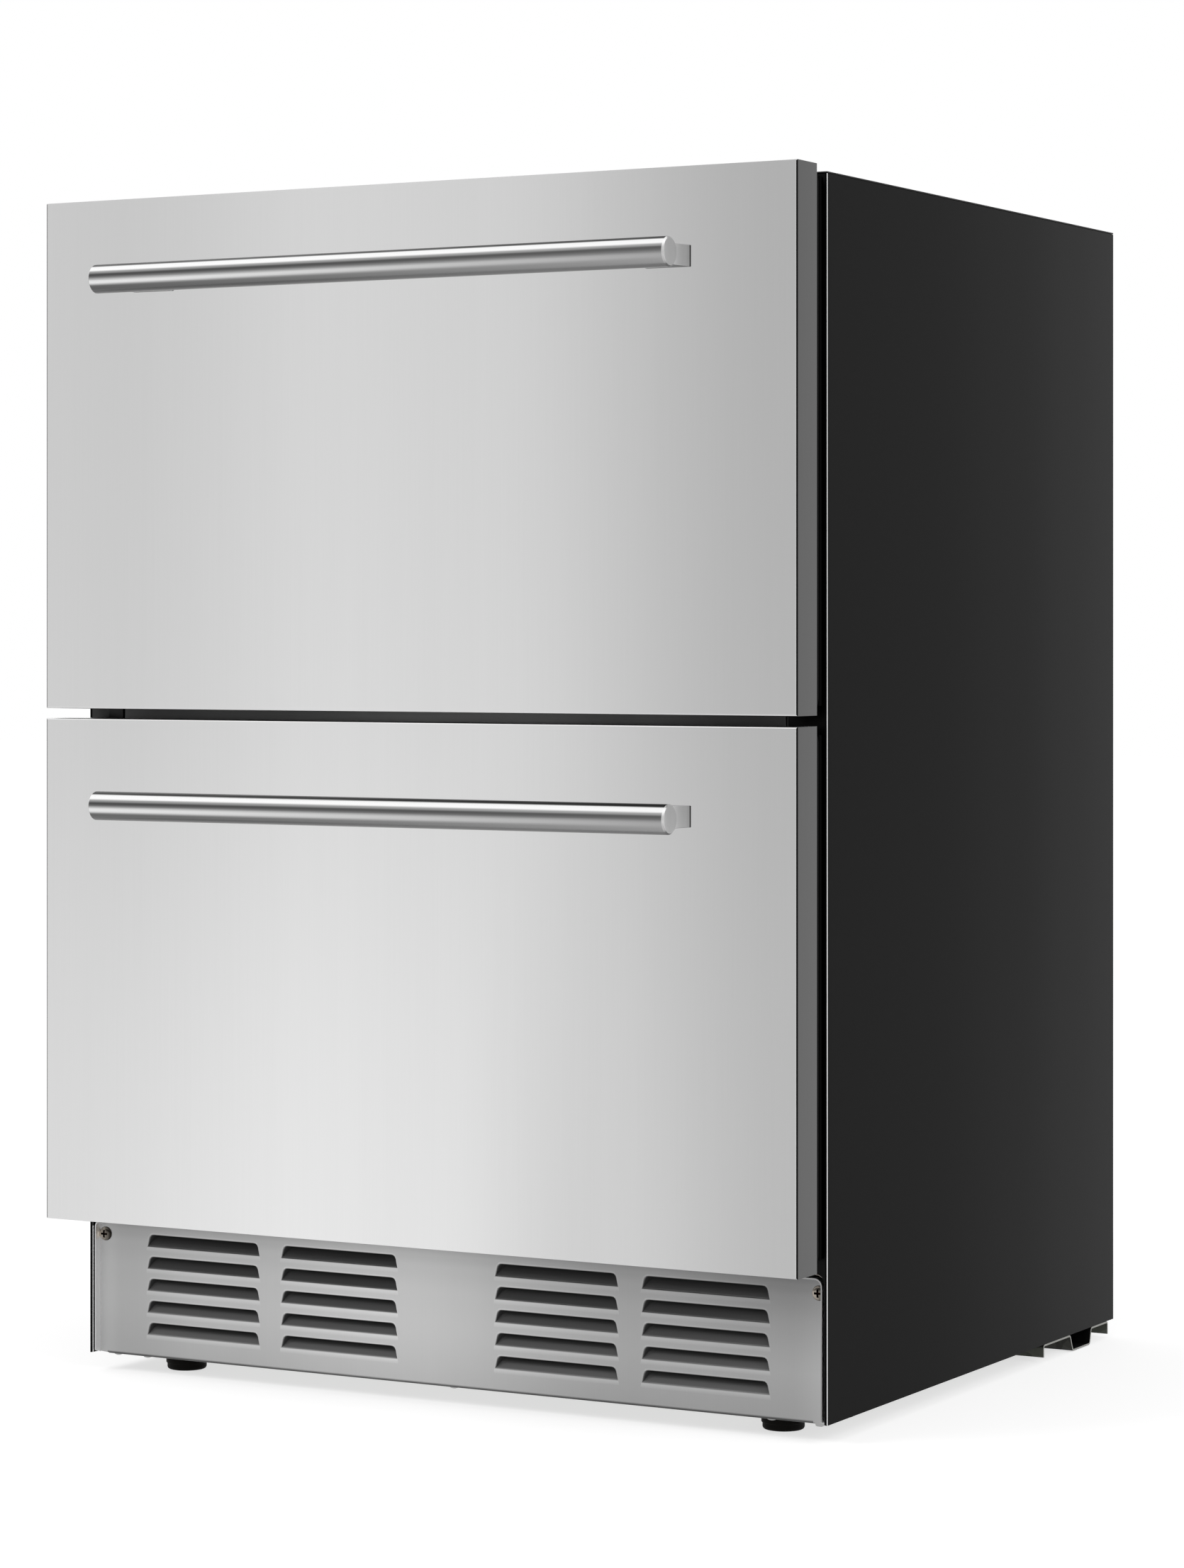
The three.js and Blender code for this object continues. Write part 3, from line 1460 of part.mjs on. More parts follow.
// Box for the supply terminals and the control board, on the base pan.
function electricBox() {
  const bottom = panFloor + BASE_SHEET + SEAT;
  const outline = roundedRect(
    [electricBoxRight - ELECTRIC_BOX_WIDTH, electricBoxRight],
    [ELECTRIC_BOX_FRONT, ELECTRIC_BOX_FRONT + ELECTRIC_BOX_DEPTH],
    5,
  );
  return alongZ(outline, bottom, bottom + ELECTRIC_BOX_HEIGHT, 2);
}

// ---------------------------------------------------------------- cold air system

const coldFanPlace = [0, DUCT_COVER_FRONT + DUCT_SHEET + 14, COLD_FAN_HEIGHT];

// Moulded cover over the evaporator: rings and spokes before the fan, slots below for the return air.
function ductCover() {
  const rear = linerRear - SEAT;
  const half = ductHalf;
  const outer = alongY(
    roundedRect([-half, half], [DUCT_COVER_BOTTOM, DUCT_COVER_TOP], 16),
    DUCT_COVER_FRONT,
    rear,
    4,
  );
  const inner = alongY(
    roundedRect(
      [-half + DUCT_SHEET, half - DUCT_SHEET],
      [DUCT_COVER_BOTTOM + DUCT_SHEET, DUCT_COVER_TOP - DUCT_SHEET],
      14,
    ),
    DUCT_COVER_FRONT + DUCT_SHEET,
    rear + 1,
    4,
  );
  const tools = [inner];
  const gaps = 4;
  const pitch = COLD_FAN_RADIUS / (gaps + 1);
  for (let i = 1; i <= gaps; i++) {
    const ring = circle(pitch * (i + 1) - 3, [0, COLD_FAN_HEIGHT], 16);
    ring.holes.push(circle(pitch * i, [0, COLD_FAN_HEIGHT], 16));
    const band = alongY(ring, DUCT_COVER_FRONT - 1, DUCT_COVER_FRONT + DUCT_SHEET + 1);
    const reach = COLD_FAN_RADIUS + 5;
    const spokes = joined([
      box([-reach, reach], [0, 2 * DUCT_COVER_FRONT], [COLD_FAN_HEIGHT - 2, COLD_FAN_HEIGHT + 2]),
      box([-2, 2], [0, 2 * DUCT_COVER_FRONT], [COLD_FAN_HEIGHT - reach, COLD_FAN_HEIGHT + reach]),
    ]);
    tools.push(band.subtract(spokes));
  }
  for (let i = 0; i < VENT_SLOTS; i++) {
    const z = DUCT_COVER_BOTTOM + 22 + i * 9;
    for (const side of [-1, 1]) {
      const far = ductHalf - 30;
      const range = side < 0 ? [-far, -20] : [20, far];
      tools.push(
        box(range, [DUCT_COVER_FRONT - 1, DUCT_COVER_FRONT + DUCT_SHEET + 1], [z, z + 4]),
      );
    }
  }
  return cut(outer, tools);
}

// Motor for the cold air fan, on a bracket fixed to the liner's rear wall.
function coldFanMotor() {
  const [x, y, z] = coldFanPlace;
  const front = y + COLD_FAN_DEPTH / 2 + 4;
  const motor = rod(15, linerRear - SEAT - front, [x, front, z], Y, 16);
  const strap = box([x - 34, x + 34], [linerRear - SEAT - 3, linerRear - SEAT], [z - 9, z + 9]);
  const shaft = rod(2, 10, [x, y + COLD_FAN_DEPTH / 2 + SEAT, z], Y, 8);
  return joined([motor, strap, shaft]);
}

// ---------------------------------------------------------------- controls and light

function controlPanel() {
  const top = linerCeiling - SEAT;
  const section = roundedPolygon(
    [
      [CONTROL_FRONT, top],
      [CONTROL_FRONT, top - CONTROL_HEIGHT + 4],
      [CONTROL_FRONT + 5, top - CONTROL_HEIGHT],
      [CONTROL_FRONT + CONTROL_DEPTH, top - CONTROL_HEIGHT],
      [CONTROL_FRONT + CONTROL_DEPTH, top],
    ],
    2,
  );
  return alongX(section, -CONTROL_HALF, CONTROL_HALF, 2);
}

function lampCover() {
  const top = linerCeiling - SEAT;
  const section = roundedPolygon(
    [
      [LIGHT_FRONT, top],
      [LIGHT_FRONT + 4, top - LIGHT_HEIGHT],
      [LIGHT_FRONT + LIGHT_DEPTH - 4, top - LIGHT_HEIGHT],
      [LIGHT_FRONT + LIGHT_DEPTH, top],
    ],
    3,
  );
  return alongX(section, -LIGHT_HALF, LIGHT_HALF, 3);
}

// ---------------------------------------------------------------- assembly

const upperRows = [upperFrontBottom, frontTop];
const lowerRows = [FRONT_BOTTOM, lowerFrontTop];
const upperBin = binTub(
  [UPPER_BIN_BOTTOM, UPPER_BIN_TOP],
  UPPER_RAIL_HEIGHT,
  BIN_REAR,
  UPPER_BIN_BOTTOM,
);
const lowerBin = binTub(
  [LOWER_BIN_BOTTOM, LOWER_BIN_TOP],
  LOWER_RAIL_HEIGHT,
  LINER_STEP_FRONT - BIN_STEP_CLEARANCE,
  LINER_STEP_TOP + BIN_STEP_CLEARANCE,
);
drawer("upper", upperRows, UPPER_RAIL_HEIGHT, upperBin);
drawer("lower", lowerRows, LOWER_RAIL_HEIGHT, lowerBin);

const shell = group("cabinet_shell");
pieceOnBothSides(shell, "side_panel", sidePanel(), paintedSteel);
pieceOnBothSides(shell, "edge_trim", edgeTrim(), polishedSteel);
piece(shell, "top_panel", topPanel(), paintedSteel);
piece(shell, "rear_panel", rearPanel(), galvanisedSteel);
piece(shell, "rear_cover", rearCover(), galvanisedSteel);
piece(shell, "cable_gland", cableGland(), blackRubber);
piece(shell, "face_frame", faceFrame(), blackPlastic);
piece(shell, "mullion_bar", mullionBar(), blackPlastic);
piece(shell, "food_liner", foodLiner(), linerPlastic);
piece(shell, "insulation_foam", insulation(), foam);
piece(shell, "bay_ceiling", bayCeiling(), galvanisedSteel);
piece(shell, "control_panel", controlPanel(), blackPlastic);
piece(shell, "lamp_cover", lampCover(), lampLens);

const base = group("base");
piece(base, "kick_grille", kickGrille(), brushedSteel);
const screwPlace = [screwX, grilleFront - SEAT, screwZ];
pieceOnBothSides(base, "grille_screw", grilleScrew(), polishedSteel, screwPlace);
piece(base, "base_pan", basePan(), galvanisedSteel);
piece(base, "rear_channel", rearChannel(), galvanisedSteel);
const foot = levellingFoot();
pieceOnBothSides(base, "front_foot", foot, blackPlastic, [footSide, FOOT_FRONT, 0]);
pieceOnBothSides(base, "rear_foot", foot, blackPlastic, [footSide, FOOT_REAR, 0]);

const bay = group("machine_bay");
const bayFloor = panFloor + BASE_SHEET + SEAT;
const condenser = finnedCoil(
  [condenserLeft, condenserRight],
  [CONDENSER_FRONT, CONDENSER_FRONT + CONDENSER_DEPTH],
  [bayFloor, bayFloor + CONDENSER_HEIGHT],
  CONDENSER_FIN_PITCH,
  3,
);
const condenserFan = fanRotor(FAN_RADIUS, FAN_HUB_RADIUS, FAN_DEPTH);
piece(bay, "compressor", compressor(), compressorPaint);
piece(bay, "condenser", condenser, finAluminium);
piece(bay, "fan_shroud", fanShroud(), galvanisedSteel);
piece(bay, "condenser_fan", condenserFan, blackPlastic, condenserFanPlace);
piece(bay, "drip_tray", dripTray(), blackPlastic);
piece(bay, "electric_box", electricBox(), blackPlastic);

const coldAir = group("cold_air_system");
const evaporator = finnedCoil(
  [-evaporatorHalf, evaporatorHalf],
  [linerRear - SEAT - EVAPORATOR_DEPTH, linerRear - SEAT],
  [EVAPORATOR_BOTTOM, EVAPORATOR_BOTTOM + EVAPORATOR_HEIGHT],
  EVAPORATOR_FIN_PITCH,
  4,
);
const coldFan = fanRotor(COLD_FAN_RADIUS - 6, FAN_HUB_RADIUS, COLD_FAN_DEPTH);
piece(coldAir, "duct_cover", ductCover(), linerPlastic);
piece(coldAir, "evaporator", evaporator, finAluminium);
piece(coldAir, "cold_fan", coldFan, blackPlastic, coldFanPlace);
piece(coldAir, "cold_fan_motor", coldFanMotor(), blackPlastic);

fridge.position.y = -depthMiddle;

export default fridge;
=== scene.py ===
"""The undercounter drawer refrigerator, dressed for the studio.

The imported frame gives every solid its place. Each sub-assembly below builds its visible pieces
as meshes with broken edges, gives them finishes made of nodes, and lets them ride on the
frame's bodies. All lengths are metres, with X to the right, Y to the rear and Z up.
"""

from __future__ import annotations

import json
import logging
import math
from collections.abc import Callable, Mapping, Sequence
from dataclasses import dataclass, field
from enum import Enum

import bmesh
import bpy
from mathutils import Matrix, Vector

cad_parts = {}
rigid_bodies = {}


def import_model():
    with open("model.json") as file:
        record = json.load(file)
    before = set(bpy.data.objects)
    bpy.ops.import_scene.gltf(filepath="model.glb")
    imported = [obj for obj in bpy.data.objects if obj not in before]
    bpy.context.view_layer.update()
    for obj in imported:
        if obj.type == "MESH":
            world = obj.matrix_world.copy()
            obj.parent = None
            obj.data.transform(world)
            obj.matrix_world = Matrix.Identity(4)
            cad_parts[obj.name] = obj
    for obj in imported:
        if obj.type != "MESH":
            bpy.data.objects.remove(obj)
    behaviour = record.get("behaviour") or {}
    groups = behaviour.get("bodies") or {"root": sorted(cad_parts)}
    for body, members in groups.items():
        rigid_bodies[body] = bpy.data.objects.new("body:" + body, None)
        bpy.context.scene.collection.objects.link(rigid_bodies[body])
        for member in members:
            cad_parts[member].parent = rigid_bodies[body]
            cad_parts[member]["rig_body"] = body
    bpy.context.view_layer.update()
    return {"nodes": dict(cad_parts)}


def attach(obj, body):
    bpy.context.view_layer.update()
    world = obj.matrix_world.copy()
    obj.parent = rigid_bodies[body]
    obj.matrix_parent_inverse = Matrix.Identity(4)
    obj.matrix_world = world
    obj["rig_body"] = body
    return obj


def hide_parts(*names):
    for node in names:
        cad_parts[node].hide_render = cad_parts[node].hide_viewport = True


LOG = logging.getLogger("drawer_refrigerator")

MM = 0.001
DEPTH_MIDDLE = 0.24825
GAMMA = 2.2
# The point attribute that holds painted shade and painted highlights, as a share of the colour.
SHADE_LAYER = "shade"
WHITE = (1.0, 1.0, 1.0, 1.0)

# The limits that nearly all of a noise's values lie between.
GRAIN_LIMITS = (0.25, 0.75)

# Places of a Mix node's two colours among its inputs, and of its colour among its outputs.
MIX_FIRST, MIX_SECOND, MIX_RESULT = 6, 7, 2

Colour = tuple[float, float, float, float]
Scale = tuple[float, float, float]
Place = tuple[float, float, float]
Stops = Sequence[tuple[float, float]]
Mesh = bmesh.types.BMesh
Ring = list[bmesh.types.BMVert]
Material = bpy.types.Material
Node = bpy.types.Node
Tree = bpy.types.NodeTree
Socket = bpy.types.NodeSocket
Source = Socket | Colour | float
Inputs = Mapping[str | int, Source]

# Gives the place of a face's finish in its piece's list, from the face's middle and its normal.
Chooser = Callable[[Vector, Vector], int]


def tone(red: float, green: float | None = None, blue: float | None = None) -> Colour:
    """Turn display levels into the linear colour that a shader takes.

    Args:
        red: Level of red from 0 to 255, or the grey level where it stands alone.
        green: Level of green, or None for a grey.
        blue: Level of blue, or None for a grey.

    Returns:
        The linear colour with full alpha.
    """
    levels = (red, red if green is None else green, red if blue is None else blue)
    shares = [level / 255 for level in levels]
    linear = [s / 12.92 if s <= 0.04045 else ((s + 0.055) / 1.055) ** 2.4 for s in shares]
    return (linear[0], linear[1], linear[2], 1.0)


def along_depth(millimetres: float) -> float:
    """Turn a depth behind the drawer fronts, in millimetres, into the frame's Y."""
    return millimetres * MM - DEPTH_MIDDLE


UPPER_HEIGHTS, LOWER_HEIGHTS = (0.479, 0.838), (0.116, 0.472)
UPPER_BAR_HEIGHT, LOWER_BAR_HEIGHT = 0.7785, 0.4125
BAR_RADIUS, BAR_HALF_LENGTH = 10 * MM, 226 * MM
FOOT_SIDE = 241 * MM
FOOT_FRONT, FOOT_REAR = along_depth(94), along_depth(440)


class Axis(Enum):
    """An axis of the frame, as the name of its output on a Separate XYZ node."""

    X = "X"
    Y = "Y"
    Z = "Z"

    def point(self, along: float, across: float, up: float) -> Vector:
        """Return a point that lies a distance along this axis, and off it by two others."""
        if self is Axis.X:
            return Vector((along, across, up))
        return Vector((across, along, up)) if self is Axis.Y else Vector((across, up, along))


# ---------------------------------------------------------------- finishes


def fed(tree: Tree, node: Node, inputs: Inputs) -> Node:
    """Give a node its inputs.

    Args:
        tree: The tree that holds it.
        node: The node.
        inputs: A socket to link, or a value to set, for each input's name or place.

    Returns:
        The node.
    """
    for name, source in inputs.items():
        if isinstance(source, Socket):
            tree.links.new(source, node.inputs[name])
        else:
            node.inputs[name].default_value = source
    return node


def added_node(tree: Tree, kind: str, inputs: Inputs, **settings: object) -> Node:
    """Add a shader node to a tree.

    Args:
        tree: The tree.
        kind: The node's kind.
        inputs: A socket to link, or a value to set, for each input's name or place.
        **settings: The node's own settings.

    Returns:
        The node.
    """
    node = tree.nodes.new(f"ShaderNode{kind}")
    for name, value in settings.items():
        setattr(node, name, value)
    return fed(tree, node, inputs)


class Surface:
    """The node tree of one finish, with the steps that the finishes share."""

    def __init__(self, name: str, metallic: float, roughness: float, specular: float) -> None:
        """Start a finish.

        Args:
            name: The finish's own name.
            metallic: How metallic it is, from 0 to 1.
            roughness: Roughness of the whole surface.
            specular: Specular level of the whole surface.
        """
        self.material = bpy.data.materials.new(name)
        self.material.use_nodes = True
        self.tree = self.material.node_tree
        levels = {"Metallic": metallic, "Roughness": roughness, "Specular IOR Level": specular}
        self.shader = fed(self.tree, self.tree.nodes["Principled BSDF"], levels)
        coordinates = self.node("TexCoord", {})
        self.place, self.facing = coordinates.outputs["Object"], coordinates.outputs["Normal"]

    def node(self, kind: str, inputs: Inputs, **settings: object) -> Node:
        """Add a node of a kind, with its inputs and its settings."""
        return added_node(self.tree, kind, inputs, **settings)

    def axis(self, axis: Axis, vector: Socket | None = None) -> Socket:
        """Return a vector's part along an axis, or the object's own coordinate."""
        return self.node("SeparateXYZ", {0: vector or self.place}).outputs[axis.value]

    def within(
        self, value: Socket, low: float, high: float, ends: tuple[float, float] = (0, 1)
    ) -> Socket:
        """Map a value between two limits onto two ends, and hold it there beyond them."""
        limits = {"From Min": low, "From Max": high, "To Min": ends[0], "To Max": ends[1]}
        return self.node("MapRange", {"Value": value, **limits}).outputs["Result"]

    def eased(self, value: Socket, stops: Stops) -> Socket:
        """Turn a value into shares that ease from each stop to the next.

        Args:
            value: The value.
            stops: Values in rising order, each with its share.

        Returns:
            The share, as a grey.
        """
        low, high = stops[0][0], stops[-1][0]
        node = self.node("ValToRGB", {"Fac": self.within(value, low, high)})
        node.color_ramp.interpolation = "EASE"
        elements = node.color_ramp.elements
        places = [(place - low) / (high - low) for place, _ in stops]
        elements[0].position, elements[1].position = places[0], places[-1]
        for place in places[1:-1]:
            elements.new(place)
        for element, (_, share) in zip(elements, stops):
            element.color = (share, share, share, 1.0)
        return node.outputs["Color"]

    def levels(self, value: Socket, stops: Stops) -> Socket:
        """Turn a value into greys that ease from one stop's display level to the next."""
        shares = [(place, tone(level)[0] ** (1 / GAMMA)) for place, level in stops]
        return self.node("Gamma", {"Color": self.eased(value, shares), "Gamma": GAMMA}).outputs[0]

    def noise(self, scale: Scale, detail: float = 3.0) -> Socket:
        """Return a noise with its own cycles per metre along each axis, and its finer octaves."""
        place = self.node("Mapping", {"Vector": self.place, "Scale": scale}).outputs["Vector"]
        inputs = {"Vector": place, "Scale": 1.0, "Detail": detail}
        return self.node("TexNoise", inputs).outputs["Fac"]

    def mixed(self, share: Source, first: Source, second: Source, mode: str = "MIX") -> Socket:
        """Mix two colours in a mode, by the share of the second."""
        inputs = {"Factor": share, MIX_FIRST: first, MIX_SECOND: second}
        return self.node("Mix", inputs, data_type="RGBA", blend_type=mode).outputs[MIX_RESULT]

    def shaded(self, colour: Source, share: Source) -> Socket:
        """Multiply a colour by a share, or by another colour."""
        return self.mixed(1.0, colour, share, "MULTIPLY")

    def grained(self, colour: Source, grain: Socket, depth: float) -> Socket:
        """Let a colour's lightness stray by a depth, either way, as a grain does."""
        return self.shaded(colour, self.within(grain, *GRAIN_LIMITS, (1 - depth, 1 + depth)))

    def finished(
        self, colour: Socket, relief: Socket | None = None, height: float = 0.0
    ) -> Material:
        """Wire the colour and the relief into the shader.

        Args:
            colour: The base colour.
            relief: The relief's height, from 0 to 1, or None for a smooth surface.
            height: What a relief of 1 stands for, in metres.

        Returns:
            The finished material.
        """
        fed(self.tree, self.shader, {"Base Color": colour})
        if relief is not None:
            bump = self.node("Bump", {"Strength": 1.0, "Distance": height, "Height": relief})
            fed(self.tree, self.shader, {"Normal": bump.outputs["Normal"]})
        return self.material

    def textured(
        self, colour: Source, scale: Scale, depth: float, height: float, detail: float = 3.0
    ) -> Material:
        """Finish with one fine grain, in the colour's lightness and in the relief.

        Args:
            colour: The base colour.
            scale: The grain's cycles per metre along each axis.
            depth: How far the lightness strays from the colour.
            height: The relief's height in metres.
            detail: How many finer octaves the grain holds.

        Returns:
            The finished material.
        """
        grain = self.noise(scale, detail)
        return self.finished(self.grained(colour, grain, depth), grain, height)


@dataclass(frozen=True)
class BrushedSheet:
    """Brushed sheet steel, with soft upright bands of painted reflection that change from its
    top to its bottom.
    """

    name: str
    top_painted_reflection: Stops
    bottom_painted_reflection: Stops
    rise: tuple[float, float]
    shade: Stops = ((0.0, 1.0), (1.0, 1.0))
    pressed: bool = False
    roughness: float = 0.36
    metallic: float = 1.0
    specular: float = 0.3
    streaks: Scale = (60.0, 60.0, 0.6)
    streak_depth: float = 0.006
    brush: Scale = (2600.0, 2600.0, 9.0)
    brush_depth: float = 0.01
    relief: float = 0.000004

    def material(self) -> Material:
        """Return the finish as a material."""
        surface = Surface(self.name, self.metallic, self.roughness, self.specular)
        across, height = surface.axis(Axis.X), surface.axis(Axis.Z)
        # Painted reflection: levels across X, mixed from the bottom bands to the top bands.
        bottom, top = (surface.levels(across, b) for b in (self.bottom_painted_reflection, self.top_painted_reflection))
        colour = surface.mixed(surface.within(height, *self.rise), bottom, top)
        # Painted shade by height, such as the shadow under a drawer.
        colour = surface.shaded(colour, surface.eased(height, self.shade))
        # Pressed sheet also takes the painted shade and highlights that its points hold.
        if self.pressed:
            layer = surface.node("Attribute", {}, attribute_name=SHADE_LAYER)
            colour = surface.shaded(colour, layer.outputs["Fac"])
        colour = surface.grained(colour, surface.noise(self.streaks, 4.0), self.streak_depth)
        return surface.textured(colour, self.brush, self.brush_depth, self.relief)


@dataclass(frozen=True)
class PolishedBar:
    """Polished round bar, with painted reflection in bands along it that soften from end to end.

    Each band is a share of the way down the bar, and its display levels at the two ends. The
    bands lie on the side that faces the room, and the side towards the drawer is plain.
    """

    name: str
    centre_height: float
    painted_reflection: tuple[tuple[float, float, float], ...]
    radius: float = BAR_RADIUS
    half_length: float = BAR_HALF_LENGTH
    roughness: float = 0.2
    back: Colour = tone(205)
    back_edge: tuple[float, float] = (along_depth(-41.3), along_depth(-40.5))
    specular: float = 0.5
    grain: Scale = (40.0, 1800.0, 1800.0)
    depth: float = 0.01
    relief: float = 0.000002

    def material(self) -> Material:
        """Return the finish as a material."""
        surface = Surface(self.name, 1.0, self.roughness, self.specular)
        top, foot = self.centre_height + self.radius, self.centre_height - self.radius
        fall = surface.within(surface.axis(Axis.Z), top, foot)
        left = surface.levels(fall, [(place, level) for place, level, _ in self.painted_reflection])
        right = surface.levels(fall, [(place, level) for place, _, level in self.painted_reflection])
        along = surface.within(surface.axis(Axis.X), -self.half_length, self.half_length)
        behind = surface.within(surface.axis(Axis.Y), *self.back_edge)
        colour = surface.mixed(behind, surface.mixed(along, left, right), self.back)
        return surface.textured(colour, self.grain, self.depth, self.relief, 2.0)


@dataclass(frozen=True)
class SheetMetal:
    """Plain bare metal, with a grain along one axis."""

    name: str
    colour: Colour
    roughness: float = 0.38
    grain: Scale = (1500.0, 1500.0, 20.0)
    depth: float = 0.03
    specular: float = 0.4
    relief: float = 0.000006

    def material(self) -> Material:
        """Return the finish as a material."""
        surface = Surface(self.name, 1.0, self.roughness, self.specular)
        return surface.textured(self.colour, self.grain, self.depth, self.relief)


@dataclass(frozen=True)
class GradedSheet:
    """A sheet whose tone drifts along one axis, as painted shading."""

    name: str
    axis: Axis
    painted_shading: Stops
    metallic: float
    roughness: float
    specular: float
    grain: Scale
    depth: float
    relief: float

    def material(self) -> Material:
        """Return the finish as a material."""
        surface = Surface(self.name, self.metallic, self.roughness, self.specular)
        colour = surface.levels(surface.axis(self.axis), self.painted_shading)
        return surface.textured(colour, self.grain, self.depth, self.relief)


@dataclass(frozen=True)
class Domed:
    """Tarnished round metal, with painted shading that is paler on its left flank."""

    name: str
    tint: Colour
    flanks: Stops
    roughness: float = 0.32
    specular: float = 0.5
    grain: Scale = (700.0, 700.0, 700.0)
    depth: float = 0.06
    relief: float = 0.00001

    def material(self) -> Material:
        """Return the finish as a material."""
        surface = Surface(self.name, 1.0, self.roughness, self.specular)
        colour = surface.levels(surface.axis(Axis.X, surface.facing), self.flanks)
        colour = surface.shaded(colour, self.tint)
        return surface.textured(colour, self.grain, self.depth, self.relief)


@dataclass(frozen=True)
class Galvanised:
    """Zinc-coated sheet, whose crystals show as pale and dark flakes."""

    name: str
    dark: Colour
    light: Colour
    roughness: float = 0.5
    metallic: float = 0.85
    specular: float = 0.3
    flake: float = 160.0
    relief: float = 0.000004
    cloud: Scale = (30.0, 30.0, 30.0)
    cloud_depth: float = 0.08

    def material(self) -> Material:
        """Return the finish as a material."""
        surface = Surface(self.name, self.metallic, self.roughness, self.specular)
        cells = surface.node("TexVoronoi", {"Scale": self.flake, "Vector": surface.place})
        flakes = surface.node("SeparateColor", {"Color": cells.outputs["Color"]})
        colour = surface.mixed(flakes.outputs["Red"], self.dark, self.light)
        colour = surface.grained(colour, surface.noise(self.cloud, 4.0), self.cloud_depth)
        return surface.finished(colour, flakes.outputs["Green"], self.relief)


@dataclass(frozen=True)
class Moulded:
    """Moulded or painted skin with a fine even texture."""

    name: str
    colour: Colour
    roughness: float
    specular: float = 0.3
    texture: float = 900.0
    depth: float = 0.03
    relief: float = 0.00003
    cloud: Scale = (14.0, 14.0, 14.0)

    def material(self) -> Material:
        """Return the finish as a material."""
        surface = Surface(self.name, 0.0, self.roughness, self.specular)
        colour = surface.grained(self.colour, surface.noise(self.cloud), self.depth)
        return surface.textured(colour, (self.texture,) * 3, self.depth, self.relief)


# Painted reflection: the soft bands across the drawer fronts, as levels along X.
UPPER_PAINTED_REFLECTION = ((-0.2975, 203), (-0.24, 202), (-0.05, 213), (0.055, 210), (0.2975, 178))
LOWER_PAINTED_REFLECTION = ((-0.2975, 208), (-0.07, 220), (0.02, 217), (0.15, 198), (0.2975, 178))
# Painted reflection across the kick plate, paler near its left end against the shade of the rim.
KICK_LEFT_PAINTED_REFLECTION = ((-0.29, 171), (-0.284, 167), (-0.272, 160), (-0.19, 173), (-0.04, 186))
KICK_PAINTED_REFLECTION = (*KICK_LEFT_PAINTED_REFLECTION, (0.153, 158), (0.265, 155), (0.293, 165))
# Near its top the right end is darker still, with the painted shadow of the drawer.
KICK_TOP_PAINTED_REFLECTION_AND_SHADOW = (*KICK_LEFT_PAINTED_REFLECTION, (0.153, 152), (0.265, 131), (0.293, 138))
# Painted shadow under the lower drawer, as a share of the colour by height.
KICK_PAINTED_SHADOW = (
    (0.014, 0.93), (0.055, 1.0), (0.075, 0.98), (0.094, 0.90), (0.102, 0.80), (0.108, 0.66),
)
KICK_HEIGHTS = (0.014, 0.112)
LOUVRE_BANDS = ((-0.293, 196), (0.293, 196))
# Painted reflection on the kick plate's cut edge: paler on the left, darker on the right.
CUT_EDGE_PAINTED_REFLECTION = ((-0.293, 176), (0.293, 148))
# Painted reflection bands on the handle bar: share of the way down, level at the left end, level at
# the right end.
BAR_PAINTED_REFLECTION = (
    (0.0, 10, 12), (0.06, 24, 24), (0.125, 252, 246), (0.225, 254, 250), (0.31, 150, 160),
    (0.395, 74, 92), (0.62, 214, 150), (0.66, 212, 151), (0.8, 84, 141), (0.88, 74, 138),
    (1.0, 66, 136),
)
# Painted reflection on the bar's end chamfers.
CHAMFER_PAINTED_REFLECTION = (
    (0.0, 226, 226), (0.2, 255, 255), (0.42, 196, 196), (0.75, 168, 168), (1.0, 128, 128),
)
ALL_ROUND = (along_depth(-29.5), along_depth(-29))
# Painted shade on the front skins' sides, darker than their face, by depth.
FRONT_SIDE_PAINTED_SHADE = ((along_depth(0), 100), (along_depth(29), 97))
# Painted shading on the cabinet side, darker at the front and paler towards the rear.
CABINET_PAINTED_SHADING = tuple(
    (along_depth(depth), level)
    for depth, level in ((52, 30), (210, 30), (360, 34), (462, 40), (546, 45))
)
# Painted shading along a handle post: a highlight near the bar, a shadow line at the front.
POST_PAINTED_SHADING = tuple(
    (along_depth(depth), level)
    for depth, level in ((-34, 236), (-24, 255), (-6, 214), (-2.1, 200), (-1.6, 60), (0, 30))
)
# Painted shading on the face frame: a light strip at its left edge, darker to the right.
FRAME_PAINTED_SHADING = ((-0.2965, 172), (-0.2953, 172), (-0.2948, 54), (-0.25, 42), (0.25, 28), (0.288, 18))
# Painted shading on the mullion in the gap: palest in the middle, darker towards both ends.
MULLION_PAINTED_SHADING = ((-0.262, 90), (-0.17, 130), (0.0, 174), (0.065, 169), (0.15, 138), (0.25, 92))
# Painted shading on the screw heads, by the normal's X: paler facing left, darker facing right.
SCREW_PAINTED_SHADING = ((-0.75, 214), (-0.2, 150), (0.3, 96), (0.8, 46))
FINE = (900.0, 900.0, 900.0)
PAINT_GRAIN = (700.0, 700.0, 700.0)
UPRIGHT_GRAIN = (1500.0, 1500.0, 20.0)
SHEET_GRAIN = (12.0, 1500.0, 1500.0)


